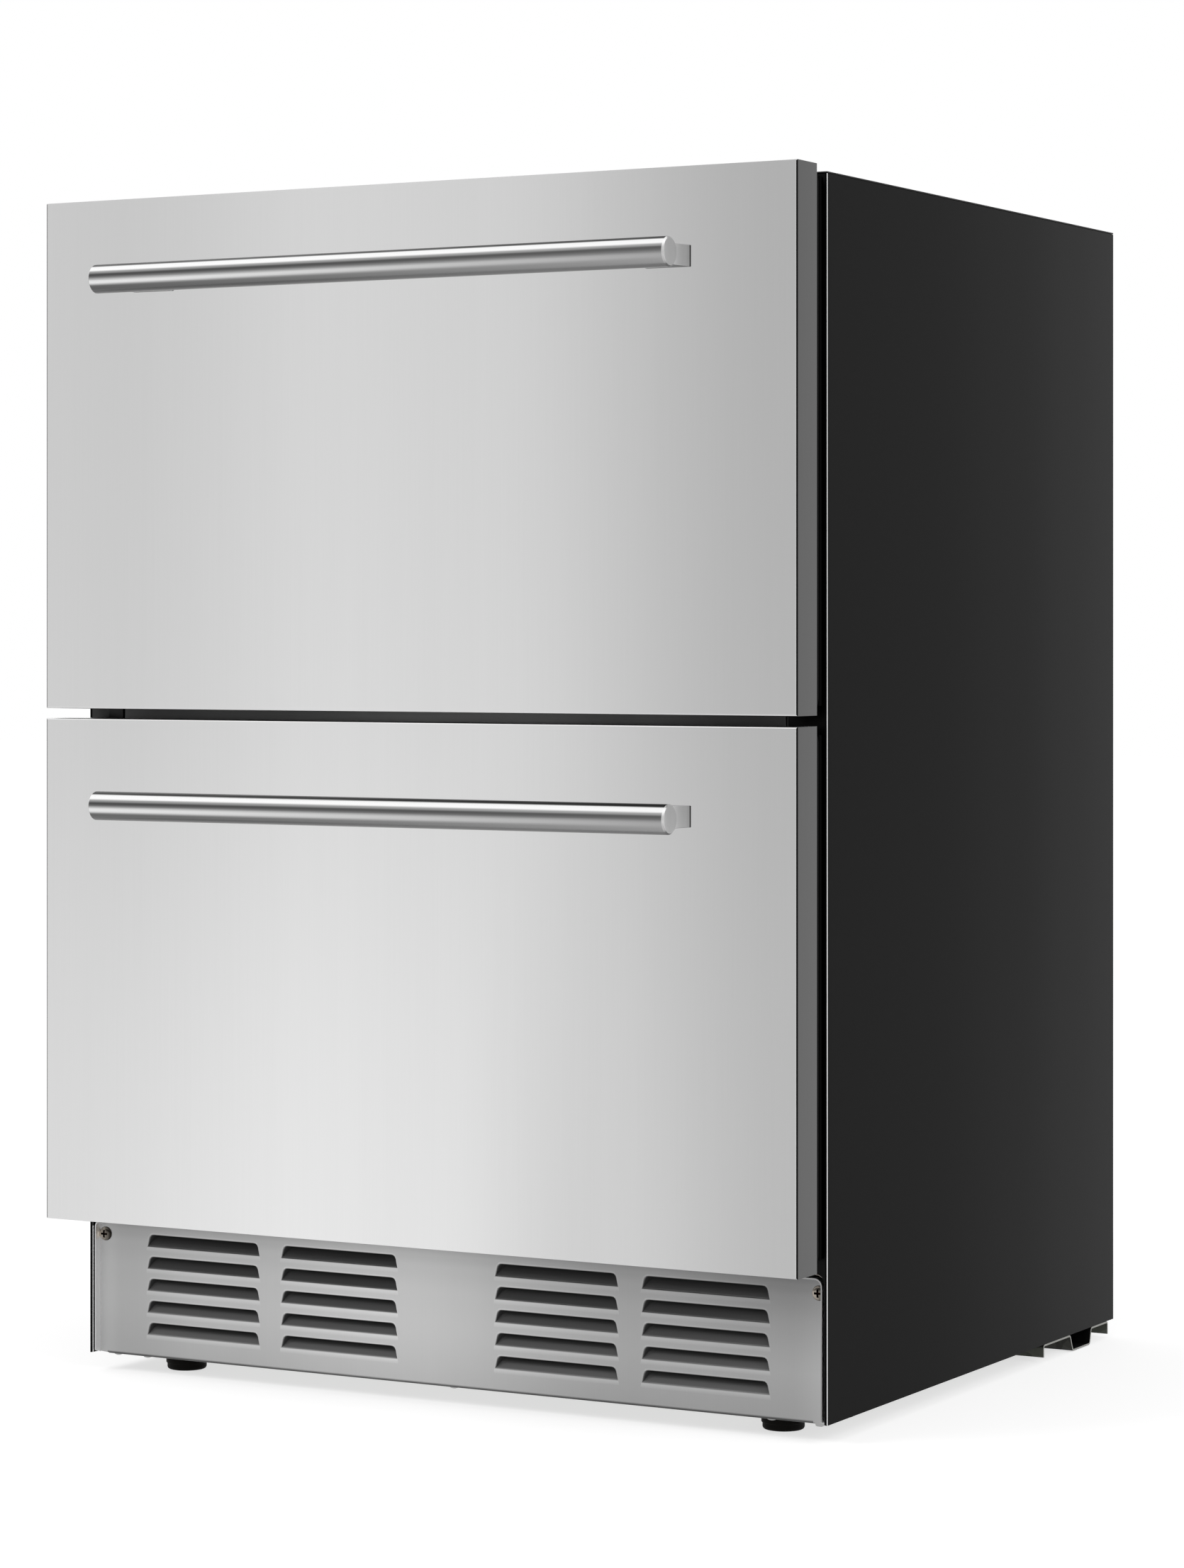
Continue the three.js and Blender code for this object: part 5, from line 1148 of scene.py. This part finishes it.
@dataclass
class KickGrille:
    """The recessed kick plate with its rim and pressed louvres, and the two screws that hold it."""

    front: float = along_depth(57)
    sheet: float = 0.9 * MM
    middle: float = -0.4 * MM
    half_width: float = 291.0 * MM
    bottom: float = 13.5 * MM
    top: float = 109.4 * MM
    corner: float = 5.5 * MM
    corner_steps: int = 6
    rim_front: float = along_depth(50.3)
    rim_lift: float = 1.8 * MM
    cut_edge: float = 0.2 * MM
    fold: float = 0.5 * MM
    fold_pinch: float = 0.26
    bend: float = 1.6 * MM
    flange_left: float = -284 * MM
    flange_right: float = 281.5 * MM
    flange_depth: float = 15 * MM
    flange_turns: tuple[int, ...] = (30, 60, 90)
    flange_shades: tuple[float, ...] = (0.25, 0.06, 0.04, 0.04)
    tab: tuple[float, float] = (282.8 * MM, 289.2 * MM)
    tab_drop: float = 2.2 * MM
    length: float = 96.4 * MM
    height: float = 9.3 * MM
    pitch: float = 15.8 * MM
    rows: int = 5
    lowest: float = 28.8 * MM
    flare: float = 1.8 * MM
    foot_pinch: float = 0.29
    shoulder: tuple[tuple[float, float], ...] = ((-0.12, 0.85), (0.1, 0.42), (0.5, 0.1), (1.0, 0.0))
    scoop_shades: Stops = (
        (0.10, 0.28), (0.25, 0.27), (0.45, 0.24), (0.65, 0.17), (0.85, 0.09), (1.0, 0.05),
    )
    depth: float = 8.5 * MM
    rise: float = 7.4 * MM
    taper: float = 7 * MM
    centres: tuple[float, ...] = (-0.2014, -0.0872, 0.0872, 0.2014)
    dimples: tuple[float, ...] = (-0.278, -0.2526, 0.0038, 0.2487)
    dimple_radius: float = 4 * MM
    dimple_height: float = 2.2 * MM
    dimple_back: float = 4.6 * MM
    dimple_steps: int = 5
    dimple_sides: int = 28
    dimple_shade: float = 0.9
    screw_side: float = 285.8 * MM
    screw_height: float = 99 * MM
    screw_seat: float = 0.3 * MM
    head_radius: float = 5.1 * MM
    head_height: float = 3.3 * MM
    head_turns: tuple[int, ...] = (0, 12, 24, 36, 48, 60, 72, 82)
    head_fullness: float = 0.8
    head_sides: int = 40
    cross_reach: float = 0.6
    cross_width: float = 0.16
    cross_floor: float = 0.35
    cross_taper: float = 0.8
    shank_radius: float = 2 * MM
    shank_length: float = 12 * MM

    def rings(self) -> list[RingShape]:
        """Return the rings of a louvre, from the plate round it to the scoop's rear."""
        # Shades over 1 paint highlights on the lip; the mouth and the scoop take painted shade.
        edge = RingShape(
            0.0, grow=0.3 * MM, grow_foot=0.5 * MM, foot_shade=1.3, side_shade=1.1, top_shade=1.25
        )
        mouth = RingShape(0.3 * MM, foot_shade=0.5, side_shade=0.2, top_shade=0.2)
        scoop = [
            RingShape(
                self.depth * share,
                self.rise * share**1.4,
                self.taper * share**1.2,
                corner=RingShape.corner * (1 - 0.9 * share),
                foot_corner=(0.6 + 4.5 * share) * MM,
                foot_shade=shade,
                side_shade=shade * (0.3 - 0.2 * share),
                top_shade=0.01,
            )
            for share, shade in self.scoop_shades
        ]
        return [RingShape(0.0, grow=0.9 * MM, grow_foot=3.4 * MM), edge, mouth, *scoop]

    def ring_points(
        self, centre: float, foot: float, ring: RingShape
    ) -> list[tuple[Vector, float]]:
        """Draw a ring from its right foot up, over the top and down to its left foot.

        Args:
            centre: The louvre's middle along X.
            foot: The height of its foot.
            ring: The ring's shape.

        Returns:
            The ring's points, each with its shade.
        """
        half = self.length / 2 - ring.inset + ring.grow
        low = foot + ring.rise - ring.grow_foot
        high = foot + self.height + ring.grow
        pinch = self.foot_pinch * ring.foot_corner
        right = [
            (half - ring.foot_corner, low, ring.foot_shade),
            (half - pinch, low + pinch, (ring.foot_shade + ring.side_shade) / 2),
            (half, low + ring.foot_corner, ring.side_shade),
        ]
        shades = (ring.side_shade, ring.side_shade, ring.top_shade, ring.top_shade)
        for (inward, down), shade in zip(self.shoulder, shades):
            x = half - self.flare - ring.corner * inward
            right.append((x, high - ring.corner * down, shade))
        left = [(-x, z, shade) for x, z, shade in reversed(right)]
        depth = self.front + ring.back
        return [(Vector((centre + x, depth, z)), shade) for x, z, shade in (*right, *left)]

    def rim_line(self, inset: float, depth: float, lift: float = 0.0) -> list[Vector]:
        """Draw the line of the rim up the right end, over the top and down the left end.

        Args:
            inset: How far inside the rim it runs.
            depth: The depth that it lies at.
            lift: How far above the plate's foot it ends.

        Returns:
            The line's points.
        """
        half, top, radius = self.half_width - inset, self.top - inset, self.corner - inset
        right = [(half, self.bottom + inset + lift)]
        for step in range(self.corner_steps + 1):
            turn = math.radians(90 * step / self.corner_steps)
            inward, down = 1 - math.cos(turn), 1 - math.sin(turn)
            right.append((half - radius * inward, top - radius * down))
        left = [(-x, z) for x, z in reversed(right)]
        return [Vector((self.middle + x, depth, z)) for x, z in (*right, *left)]

    def foot_line(self) -> list[Vector]:
        """Draw the plate's lower edge from left to right, notched for the bend and with its tab.

        Returns:
            The line's points.
        """
        drop, lift = self.bottom - self.tab_drop, self.bottom + self.bend
        near, far = self.tab
        soft = 0.7 * self.tab_drop
        line = [
            (self.flange_left, self.bottom),
            (self.flange_left, lift),
            (self.flange_right, lift),
            (self.flange_right, self.bottom),
            (near, self.bottom),
            (near + 0.3 * soft, drop + 0.3 * soft),
            (near + soft, drop),
            (far - soft, drop),
            (far - 0.3 * soft, drop + 0.3 * soft),
            (far, drop + soft),
            (far, self.bottom),
        ]
        return [Vector((x, self.front, z)) for x, z in line]

    def plate_mesh(self) -> Mesh:
        """Press the plate, its rim, its louvres and its lower flange from one sheet.

        Returns:
            The sheet's outer surface, with the painted shade or highlight of each point; the
            louvres have the second finish and the rim has the third.
        """
        mesh = bmesh.new()
        mesh.verts.layers.float.new(SHADE_LAYER)
        rim = shaded_ring(mesh, self.rim_line(self.fold, self.front))
        foot = shaded_ring(mesh, self.foot_line())
        outer = [*foot, *rim]
        edges = [mesh.edges.new(pair) for pair in zip(outer, outer[1:] + outer[:1])]
        pinch = self.fold_pinch * self.fold
        near = rim
        for inset, depth, lift in (
            (pinch, self.front - pinch, 0.0),
            (0.0, self.front - self.fold, 0.0),
            (0.0, self.rim_front, self.rim_lift),
        ):
            far = shaded_ring(mesh, self.rim_line(inset, depth, lift))
            bridged(mesh, near, far, closed=False, finish=RIM_PLACE)
            near = far
        for centre in self.centres:
            for row in range(self.rows):
                edges += self.press_louvre(mesh, centre, self.lowest + row * self.pitch)
        bmesh.ops.triangle_fill(mesh, use_beauty=True, edges=edges, normal=(0.0, -1.0, 0.0))
        self.fold_flange(mesh, foot[1:3])
        bmesh.ops.recalc_face_normals(mesh, faces=mesh.faces)
        if max(mesh.faces, key=lambda face: face.calc_area()).normal.y > 0:
            bmesh.ops.reverse_faces(mesh, faces=mesh.faces)
        return mesh

    def press_louvre(self, mesh: Mesh, centre: float, foot: float) -> list[bmesh.types.BMEdge]:
        """Press one louvre, open at its top, with the rings of plate round it.

        Args:
            mesh: The plate's mesh.
            centre: The louvre's middle along X.
            foot: The height of its foot.

        Returns:
            The edges that the plate's face ends on.
        """
        lines = [self.ring_points(centre, foot, shape) for shape in self.rings()]
        rings = [shaded_ring(mesh, *zip(*line)) for line in lines]
        outer, edge, mouth = rings[:3]
        bridged(mesh, outer, edge)
        bridged(mesh, edge, mouth)
        half = len(outer) // 2
        turned = [ring[half:] + ring[:half] for ring in rings[2:]]
        for near, far in zip(turned, turned[1:]):
            bridged(mesh, near, far, closed=False, finish=LOUVRE_PLACE)
        return [mesh.edges.get(pair) for pair in zip(outer, outer[1:] + outer[:1])]

    def fold_flange(self, mesh: Mesh, near: Ring) -> None:
        """Fold the lower flange under the base, in painted shade that darkens as it turns down.

        Args:
            mesh: The plate's mesh.
            near: The two ends of the bend's upper line.
        """
        turns = [math.radians(turn) for turn in self.flange_turns]
        shares = [(1 - math.cos(turn), 1 - math.sin(turn)) for turn in turns]
        bend = [(self.bend * back, self.bend * lift) for back, lift in shares]
        for (back, lift), shade in zip((*bend, (self.flange_depth, 0.0)), self.flange_shades):
            depth, height = self.front + back, self.bottom + lift
            points = [Vector((vert.co.x, depth, height)) for vert in near]
            far = shaded_ring(mesh, points, (shade,) * len(points))
            bridged(mesh, near, far, closed=False)
            near = far

    def add_dimples(self, mesh: Mesh) -> None:
        """Add the shallow domes pressed down through the lower flange.

        Args:
            mesh: The plate's mesh.
        """
        shade = mesh.verts.layers.float[SHADE_LAYER]
        old = set(mesh.verts)
        radius, height, steps = self.dimple_radius, self.dimple_height, self.dimple_steps
        turns = [math.radians(90 * step / steps) for step in range(steps + 1)]
        dome = [(-height * math.cos(turn), radius * math.sin(turn)) for turn in turns]
        for x in self.dimples:
            centre = Vector((x, self.front + self.dimple_back, self.bottom))
            add_turned(mesh, Axis.Z, centre, [*dome, (0.5 * self.sheet, radius)], self.dimple_sides)
        # The domes take a slight painted shade.
        for vert in set(mesh.verts) - old:
            vert[shade] = self.dimple_shade
        new_faces = [face for face in mesh.faces if face.verts[0] not in old]
        bmesh.ops.recalc_face_normals(mesh, faces=new_faces)

    def cross_cutter(self, centre: Vector) -> Mesh:
        """Draw the two crossed bars, narrower at their foot, that cut a screw's cross.

        Args:
            centre: The middle of the head's seat.

        Returns:
            The cutter's mesh.
        """
        mesh = bmesh.new()
        long, thin = self.head_radius * self.cross_reach, self.head_radius * self.cross_width
        floor = -self.head_height * self.cross_floor
        levels = ((-self.head_height - MM, 1.0), (floor, self.cross_taper))
        for half_x, half_z in ((long, thin), (thin, long)):
            corners = ((-half_x, -half_z), (half_x, -half_z), (half_x, half_z), (-half_x, half_z))
            top, foot = (
                [mesh.verts.new(centre + Vector((x * scale, along, z * scale))) for x, z in corners]
                for along, scale in levels
            )
            bridged(mesh, top, foot)
            mesh.faces.new(top)
            mesh.faces.new(foot)
        bmesh.ops.recalc_face_normals(mesh, faces=mesh.faces)
        return mesh

    def screw_mesh(self, side: int) -> Mesh:
        """Turn a pan head and cut the cross into it.

        Args:
            side: 1 for the right screw, -1 for the left one.

        Returns:
            The screw's mesh.
        """
        centre = Vector((side * self.screw_side, self.front - self.screw_seat, self.screw_height))
        radius, height, shank = self.head_radius, self.head_height, self.shank_radius
        turns = [math.radians(turn) for turn in self.head_turns]
        profile = [
            *((-height * math.cos(t) ** self.head_fullness, radius * math.sin(t)) for t in turns),
            (0.0, radius),
            (0.0, shank),
            (self.shank_length, shank),
        ]
        head = turned_mesh(Axis.Y, centre, profile, self.head_sides)
        tool = linked_object("cross", self.cross_cutter(centre))
        cut = {"operation": "DIFFERENCE", "solver": "EXACT", "use_self": True, "object": tool}
        mesh = reworked(head, "BOOLEAN", **cut)
        bpy.data.meshes.remove(tool.data)
        return mesh

    def screw_finish(self, middle: Vector, normal: Vector) -> int:
        """Choose the finish of a face of a screw, with painted shade in the cross.

        Args:
            middle: The face's middle.
            normal: The face's normal.

        Returns:
            The place of the finish in the screw's list.
        """
        reach = math.hypot(abs(middle.x) - self.screw_side, middle.z - self.screw_height)
        outward = abs(normal.y) > 0.1 and reach > 0.1 * MM
        crown = self.front - self.screw_seat - self.head_height
        deep = middle.y > crown + 0.45 * self.head_height
        return 1 if reach < 0.64 * self.head_radius and (deep or not outward) else 0

    def build(self, frame: Frame) -> None:
        """Build the plate and its screws on the frame."""
        mesh = reworked(self.plate_mesh(), "SOLIDIFY", thickness=self.sheet, offset=-1.0)
        for face in mesh.faces:
            if face.calc_center_median().y < self.rim_front + self.cut_edge:
                face.material_index = EDGE_PLACE
        self.add_dimples(mesh)
        plate = [Finish.KICK_PLATE, Finish.LOUVRE, Finish.KICK_RIM_PAINTED_LIGHT, Finish.KICK_EDGE]
        frame.piece("kick_grille", mesh, "brushed_steel", plate)
        screw = [Finish.SCREW_HEAD, Finish.SCREW_CROSS_PAINTED_SHADE]
        for name, side in (("right", 1), ("left", -1)):
            node = f"grille_screw_{name}"
            frame.piece(node, self.screw_mesh(side), "polished_steel", screw, self.screw_finish)


@dataclass
class RearChannel:
    """The bent channel across the rear of the base, which the rear feet screw into."""

    half_length: float = 294.2 * MM
    sheet: float = 1.3 * MM
    bend: float = 1.9 * MM
    bend_shares: tuple[float, ...] = (0.0, 0.25, 0.5, 0.75, 1.0)
    top: float = 13.2 * MM
    line: Stops = (
        (413.15, 4.0), (413.15, 12.55), (463.15, 12.55), (468.15, 1.25),
        (500.85, 1.25), (503.85, 12.55), (535.85, 12.55), (535.85, 3.6),
    )
    web_front: float = along_depth(425)
    web_rear: float = along_depth(467.6)
    well_rear: float = along_depth(503.5)
    boss_side: float = FOOT_SIDE
    boss_depth: float = FOOT_REAR
    boss_radius: float = 8 * MM
    boss_height: float = 12 * MM
    boss_sides: int = 28

    def middle_line(self) -> list[Vector]:
        """Draw the section's middle line, with its corners rounded.

        Returns:
            The line's points.
        """
        corners = [Vector((0.0, along_depth(y), z * MM)) for y, z in self.line]
        points = [corners[0]]
        for before, corner, after in zip(corners, corners[1:], corners[2:]):
            start = corner + (before - corner).normalized() * self.bend
            end = corner + (after - corner).normalized() * self.bend
            for share in self.bend_shares:
                points.append(start.lerp(corner, share).lerp(corner.lerp(end, share), share))
        return [*points, corners[-1]]

    def section(self, mesh: Mesh, x: float) -> list[Ring]:
        """Draw the two faces of the sheet at one end.

        Args:
            mesh: The channel's mesh.
            x: Where the end lies.

        Returns:
            The points of the two faces.
        """
        line = self.middle_line()
        rows: list[Ring] = [[], []]
        for place, point in enumerate(line):
            ahead = line[min(place + 1, len(line) - 1)] - line[max(place - 1, 0)]
            across = Vector((0.0, -ahead.z, ahead.y)).normalized() * self.sheet / 2
            for row, shift in zip(rows, (across, -across)):
                row.append(mesh.verts.new(Vector((x, 0, 0)) + point + shift))
        return rows

    def mesh(self) -> Mesh:
        """Sweep the section along X and add the bosses for the feet.

        Returns:
            The channel's mesh: its cut ends have the second finish, and its well the third and its
            web the fourth, both in painted shade.
        """
        mesh = bmesh.new()
        left, right = (self.section(mesh, x) for x in (-self.half_length, self.half_length))
        for near, far in zip(left, right):
            bridged(mesh, near, far, closed=False)
        for end in (0, -1):
            mesh.faces.new((left[0][end], left[1][end], right[1][end], right[0][end]))
        for rows in (left, right):
            bridged(mesh, *rows, closed=False, finish=1)
        mesh.normal_update()
        for face in mesh.faces:
            depth = face.calc_center_median().y
            if face.material_index == 0 and self.web_front < depth < self.well_rear:
                face.material_index = 2 if depth > self.web_rear else 3
        radius, height = self.boss_radius, self.boss_height
        profile = ((0.0, radius), (height, radius), (height + MM, radius - MM))
        for x in (-self.boss_side, self.boss_side):
            centre = Vector((x, self.boss_depth, self.top - MM))
            add_turned(mesh, Axis.Z, centre, profile, self.boss_sides)
        bmesh.ops.recalc_face_normals(mesh, faces=mesh.faces)
        return mesh

    def build(self, frame: Frame) -> None:
        """Build the channel on the frame."""
        sheet = [Finish.CHANNEL_SHEET, Finish.CHANNEL_EDGE, Finish.CHANNEL_WELL_PAINTED_SHADE, Finish.CHANNEL_WEB_PAINTED_SHADE]
        frame.piece("rear_channel", self.mesh(), "galvanised_steel", sheet)


@dataclass
class Base:
    """The base pan and the four levelling feet."""

    collar: float = 15 * MM
    body: float = 14.2 * MM
    sole: float = 12.4 * MM
    sole_height: float = 1.9 * MM
    sole_turns: tuple[int, ...] = (0, 20, 40, 60, 80, 90)
    shoulder: float = 4.6 * MM
    height: float = 11.4 * MM
    stud: float = 4 * MM
    stud_top: float = 42 * MM
    soft: float = 0.35 * MM
    sides: int = 64

    def foot_profile(self) -> list[tuple[float, float]]:
        """Return a foot's profile: rounded sole, body, collar and stud."""
        soft, collar, height, swell = self.soft, self.collar, self.height, self.body - self.sole
        turns = [math.radians(turn) for turn in self.sole_turns]
        bends = [(1 - math.cos(turn), math.sin(turn)) for turn in turns]
        return [
            (0.0, self.sole - 3 * soft),
            *((self.sole_height * rise, self.sole + swell * out) for rise, out in bends),
            (self.shoulder, self.body),
            (self.shoulder, collar - soft),
            (self.shoulder + soft, collar),
            (height - 2.5 * soft, collar),
            (height - 0.8 * soft, collar - 0.8 * soft),
            (height, collar - 2.5 * soft),
            (height, self.stud),
            (self.stud_top - MM, self.stud),
            (self.stud_top, self.stud - MM),
        ]

    def build(self, frame: Frame) -> None:
        """Build the base on the frame."""
        frame.softened("base_pan", "galvanised_steel", [Finish.GALVANISED], THIN_EDGE)
        for end, depth in (("front", FOOT_FRONT), ("rear", FOOT_REAR)):
            for side, x in (("right", FOOT_SIDE), ("left", -FOOT_SIDE)):
                mesh = turned_mesh(Axis.Z, Vector((x, depth, 0.0)), self.foot_profile(), self.sides)
                frame.piece(f"{end}_foot_{side}", mesh, "black_plastic", [Finish.FOOT_RUBBER])


# ---------------------------------------------------------------- cooling


@dataclass
class MachineBay(PlainAssembly):
    """The compressor, the condenser with its fan, the drip tray and the electric box."""

    pieces: Pieces = (
        ("compressor", "compressor_paint", Finish.COMPRESSOR_PAINT, MOULDED_EDGE),
        ("condenser", "fin_aluminium", Finish.ALUMINIUM, FIN_EDGE),
        ("fan_shroud", "galvanised_steel", Finish.GALVANISED, BLADE_EDGE),
        ("condenser_fan", "black_plastic", Finish.BLACK_PLASTIC, BLADE_EDGE),
        ("drip_tray", "black_plastic", Finish.BLACK_PLASTIC, PLAIN_EDGE),
        ("electric_box", "black_plastic", Finish.BLACK_PLASTIC, ROUNDED_EDGE),
    )


@dataclass
class ColdAirSystem(PlainAssembly):
    """The duct cover in front of the evaporator, and the fan that blows through it."""

    pieces: Pieces = (
        ("duct_cover", "liner_plastic", Finish.LINER, DUCT_EDGE),
        ("evaporator", "fin_aluminium", Finish.ALUMINIUM, FIN_EDGE),
        ("cold_fan", "black_plastic", Finish.BLACK_PLASTIC, BLADE_EDGE),
        ("cold_fan_motor", "black_plastic", Finish.BLACK_PLASTIC, PLAIN_EDGE),
    )


# ---------------------------------------------------------------- studio


@dataclass
class Studio:
    """The camera, the pale floor, the white surround and the soft lamps."""

    camera_place: Place = (1.5091, -2.70975, 0.5345)
    camera_turn: float = math.radians(28.97)
    sensor: float = 36.0
    lens: float = 97.69
    shift_up: float = -0.0981
    world_level: float = 0.72
    floor_size: float = 14.0
    floor_colour: Colour = (0.5, 0.5, 0.5, 1.0)
    floor_grain: Scale = (40.0, 40.0, 40.0)
    floor_depth: float = 0.004
    floor_roughness: float = 0.9
    floor_glow: float = 0.66
    aim: Place = (0.0, 0.0, 0.42)
    lamps: tuple[tuple[str, Place, float, float], ...] = (
        ("key_lamp", (-2.2, -3.0, 2.8), 1.8, 60.0),
        ("fill_lamp", (3.2, -1.2, 2.2), 2.0, 40.0),
    )

    def place_camera(self) -> None:
        """Place the camera where the photograph was taken from."""
        data = bpy.data.cameras.new("camera")
        data.sensor_fit = "AUTO"
        data.sensor_width = self.sensor
        data.lens = self.lens
        data.shift_y = self.shift_up
        camera = bpy.data.objects.new("camera", data)
        camera.location = self.camera_place
        camera.rotation_euler = (math.radians(90), 0.0, self.camera_turn)
        bpy.context.scene.collection.objects.link(camera)
        bpy.context.scene.camera = camera

    @staticmethod
    def seen_directly(tree: Tree) -> Socket:
        """Return 1 for a ray that shows the surround: straight, mirrored or let through.

        Args:
            tree: The tree that takes the nodes.

        Returns:
            The sum of the three kinds of ray, held at 1.
        """
        path = added_node(tree, "LightPath", {})
        total = path.outputs["Is Camera Ray"]
        for name in ("Is Glossy Ray", "Is Transmission Ray"):
            rays = {0: total, 1: path.outputs[name]}
            total = added_node(tree, "Math", rays, operation="ADD", use_clamp=True).outputs[0]
        return total

    def light_surround(self) -> None:
        """Make the world white to the eye, and a soft even light for the object."""
        world = bpy.data.worlds.new("surround")
        world.use_nodes = True
        bpy.context.scene.world = world
        tree = world.node_tree
        limits = {"To Min": self.world_level, "To Max": 1.0}
        level = added_node(tree, "MapRange", {"Value": self.seen_directly(tree), **limits})
        strength = level.outputs["Result"]
        fed(tree, tree.nodes["Background"], {"Color": WHITE, "Strength": strength})

    def lay_floor(self) -> None:
        """Lay the pale floor, which shows white and keeps the object's shadow."""
        mesh = bmesh.new()
        bmesh.ops.create_grid(mesh, x_segments=8, y_segments=8, size=self.floor_size)
        floor = linked_object("floor", mesh)
        surface = Surface("floor_paper", 0.0, self.floor_roughness, 0.0)
        grain = surface.noise(self.floor_grain, 2.0)
        surface.finished(surface.grained(self.floor_colour, grain, self.floor_depth))
        seen = {0: self.seen_directly(surface.tree), 1: self.floor_glow}
        level = surface.node("Math", seen, operation="MULTIPLY").outputs[0]
        glow = surface.node("Emission", {"Color": WHITE, "Strength": level}).outputs[0]
        total = surface.node("AddShader", {0: surface.shader.outputs[0], 1: glow}).outputs[0]
        fed(surface.tree, surface.tree.nodes["Material Output"], {"Surface": total})
        floor.data.materials.append(surface.material)

    def hang_lamp(self, name: str, place: Place, size: float, power: float) -> None:
        """Hang a soft square lamp that faces the middle of the object.

        Args:
            name: The lamp's name.
            place: Where it hangs.
            size: The length of its side.
            power: Its power in watts.
        """
        data = bpy.data.lights.new(name, "AREA")
        data.shape = "SQUARE"
        data.size = size
        data.energy = power
        lamp = bpy.data.objects.new(name, data)
        lamp.location = place
        facing = Vector(self.aim) - Vector(place)
        lamp.rotation_euler = facing.to_track_quat("-Z", "Y").to_euler()
        lamp.visible_glossy = False
        bpy.context.scene.collection.objects.link(lamp)

    def set_up(self) -> None:
        """Set up the light and the floor."""
        bpy.context.scene.view_settings.view_transform = "Standard"
        self.light_surround()
        self.lay_floor()
        for lamp in self.lamps:
            self.hang_lamp(*lamp)


def main() -> None:
    """Build the studio and the refrigerator, in order."""
    logging.basicConfig(level=logging.INFO, format="%(name)s %(message)s")
    studio = Studio()
    studio.place_camera()
    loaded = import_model()
    frame = Frame(loaded["nodes"])
    fronts = {
        Level.UPPER: (*UPPER_HEIGHTS, UPPER_BAR_HEIGHT),
        Level.LOWER: (*LOWER_HEIGHTS, LOWER_BAR_HEIGHT),
    }
    for level, (bottom, top, bar_height) in fronts.items():
        DrawerFront(level, bottom, top).build(frame)
        BarHandle(level, bar_height).build(frame)
        FoodBin(level).build(frame)
        TelescopicRails(level).build(frame)
    for assembly in (
        CabinetShell(),
        DrawerOpening(),
        FoodCompartment(),
        KickGrille(),
        RearChannel(),
        Base(),
        MachineBay(),
        ColdAirSystem(),
    ):
        assembly.build(frame)
    studio.set_up()


if __name__ == "__main__":
    main()
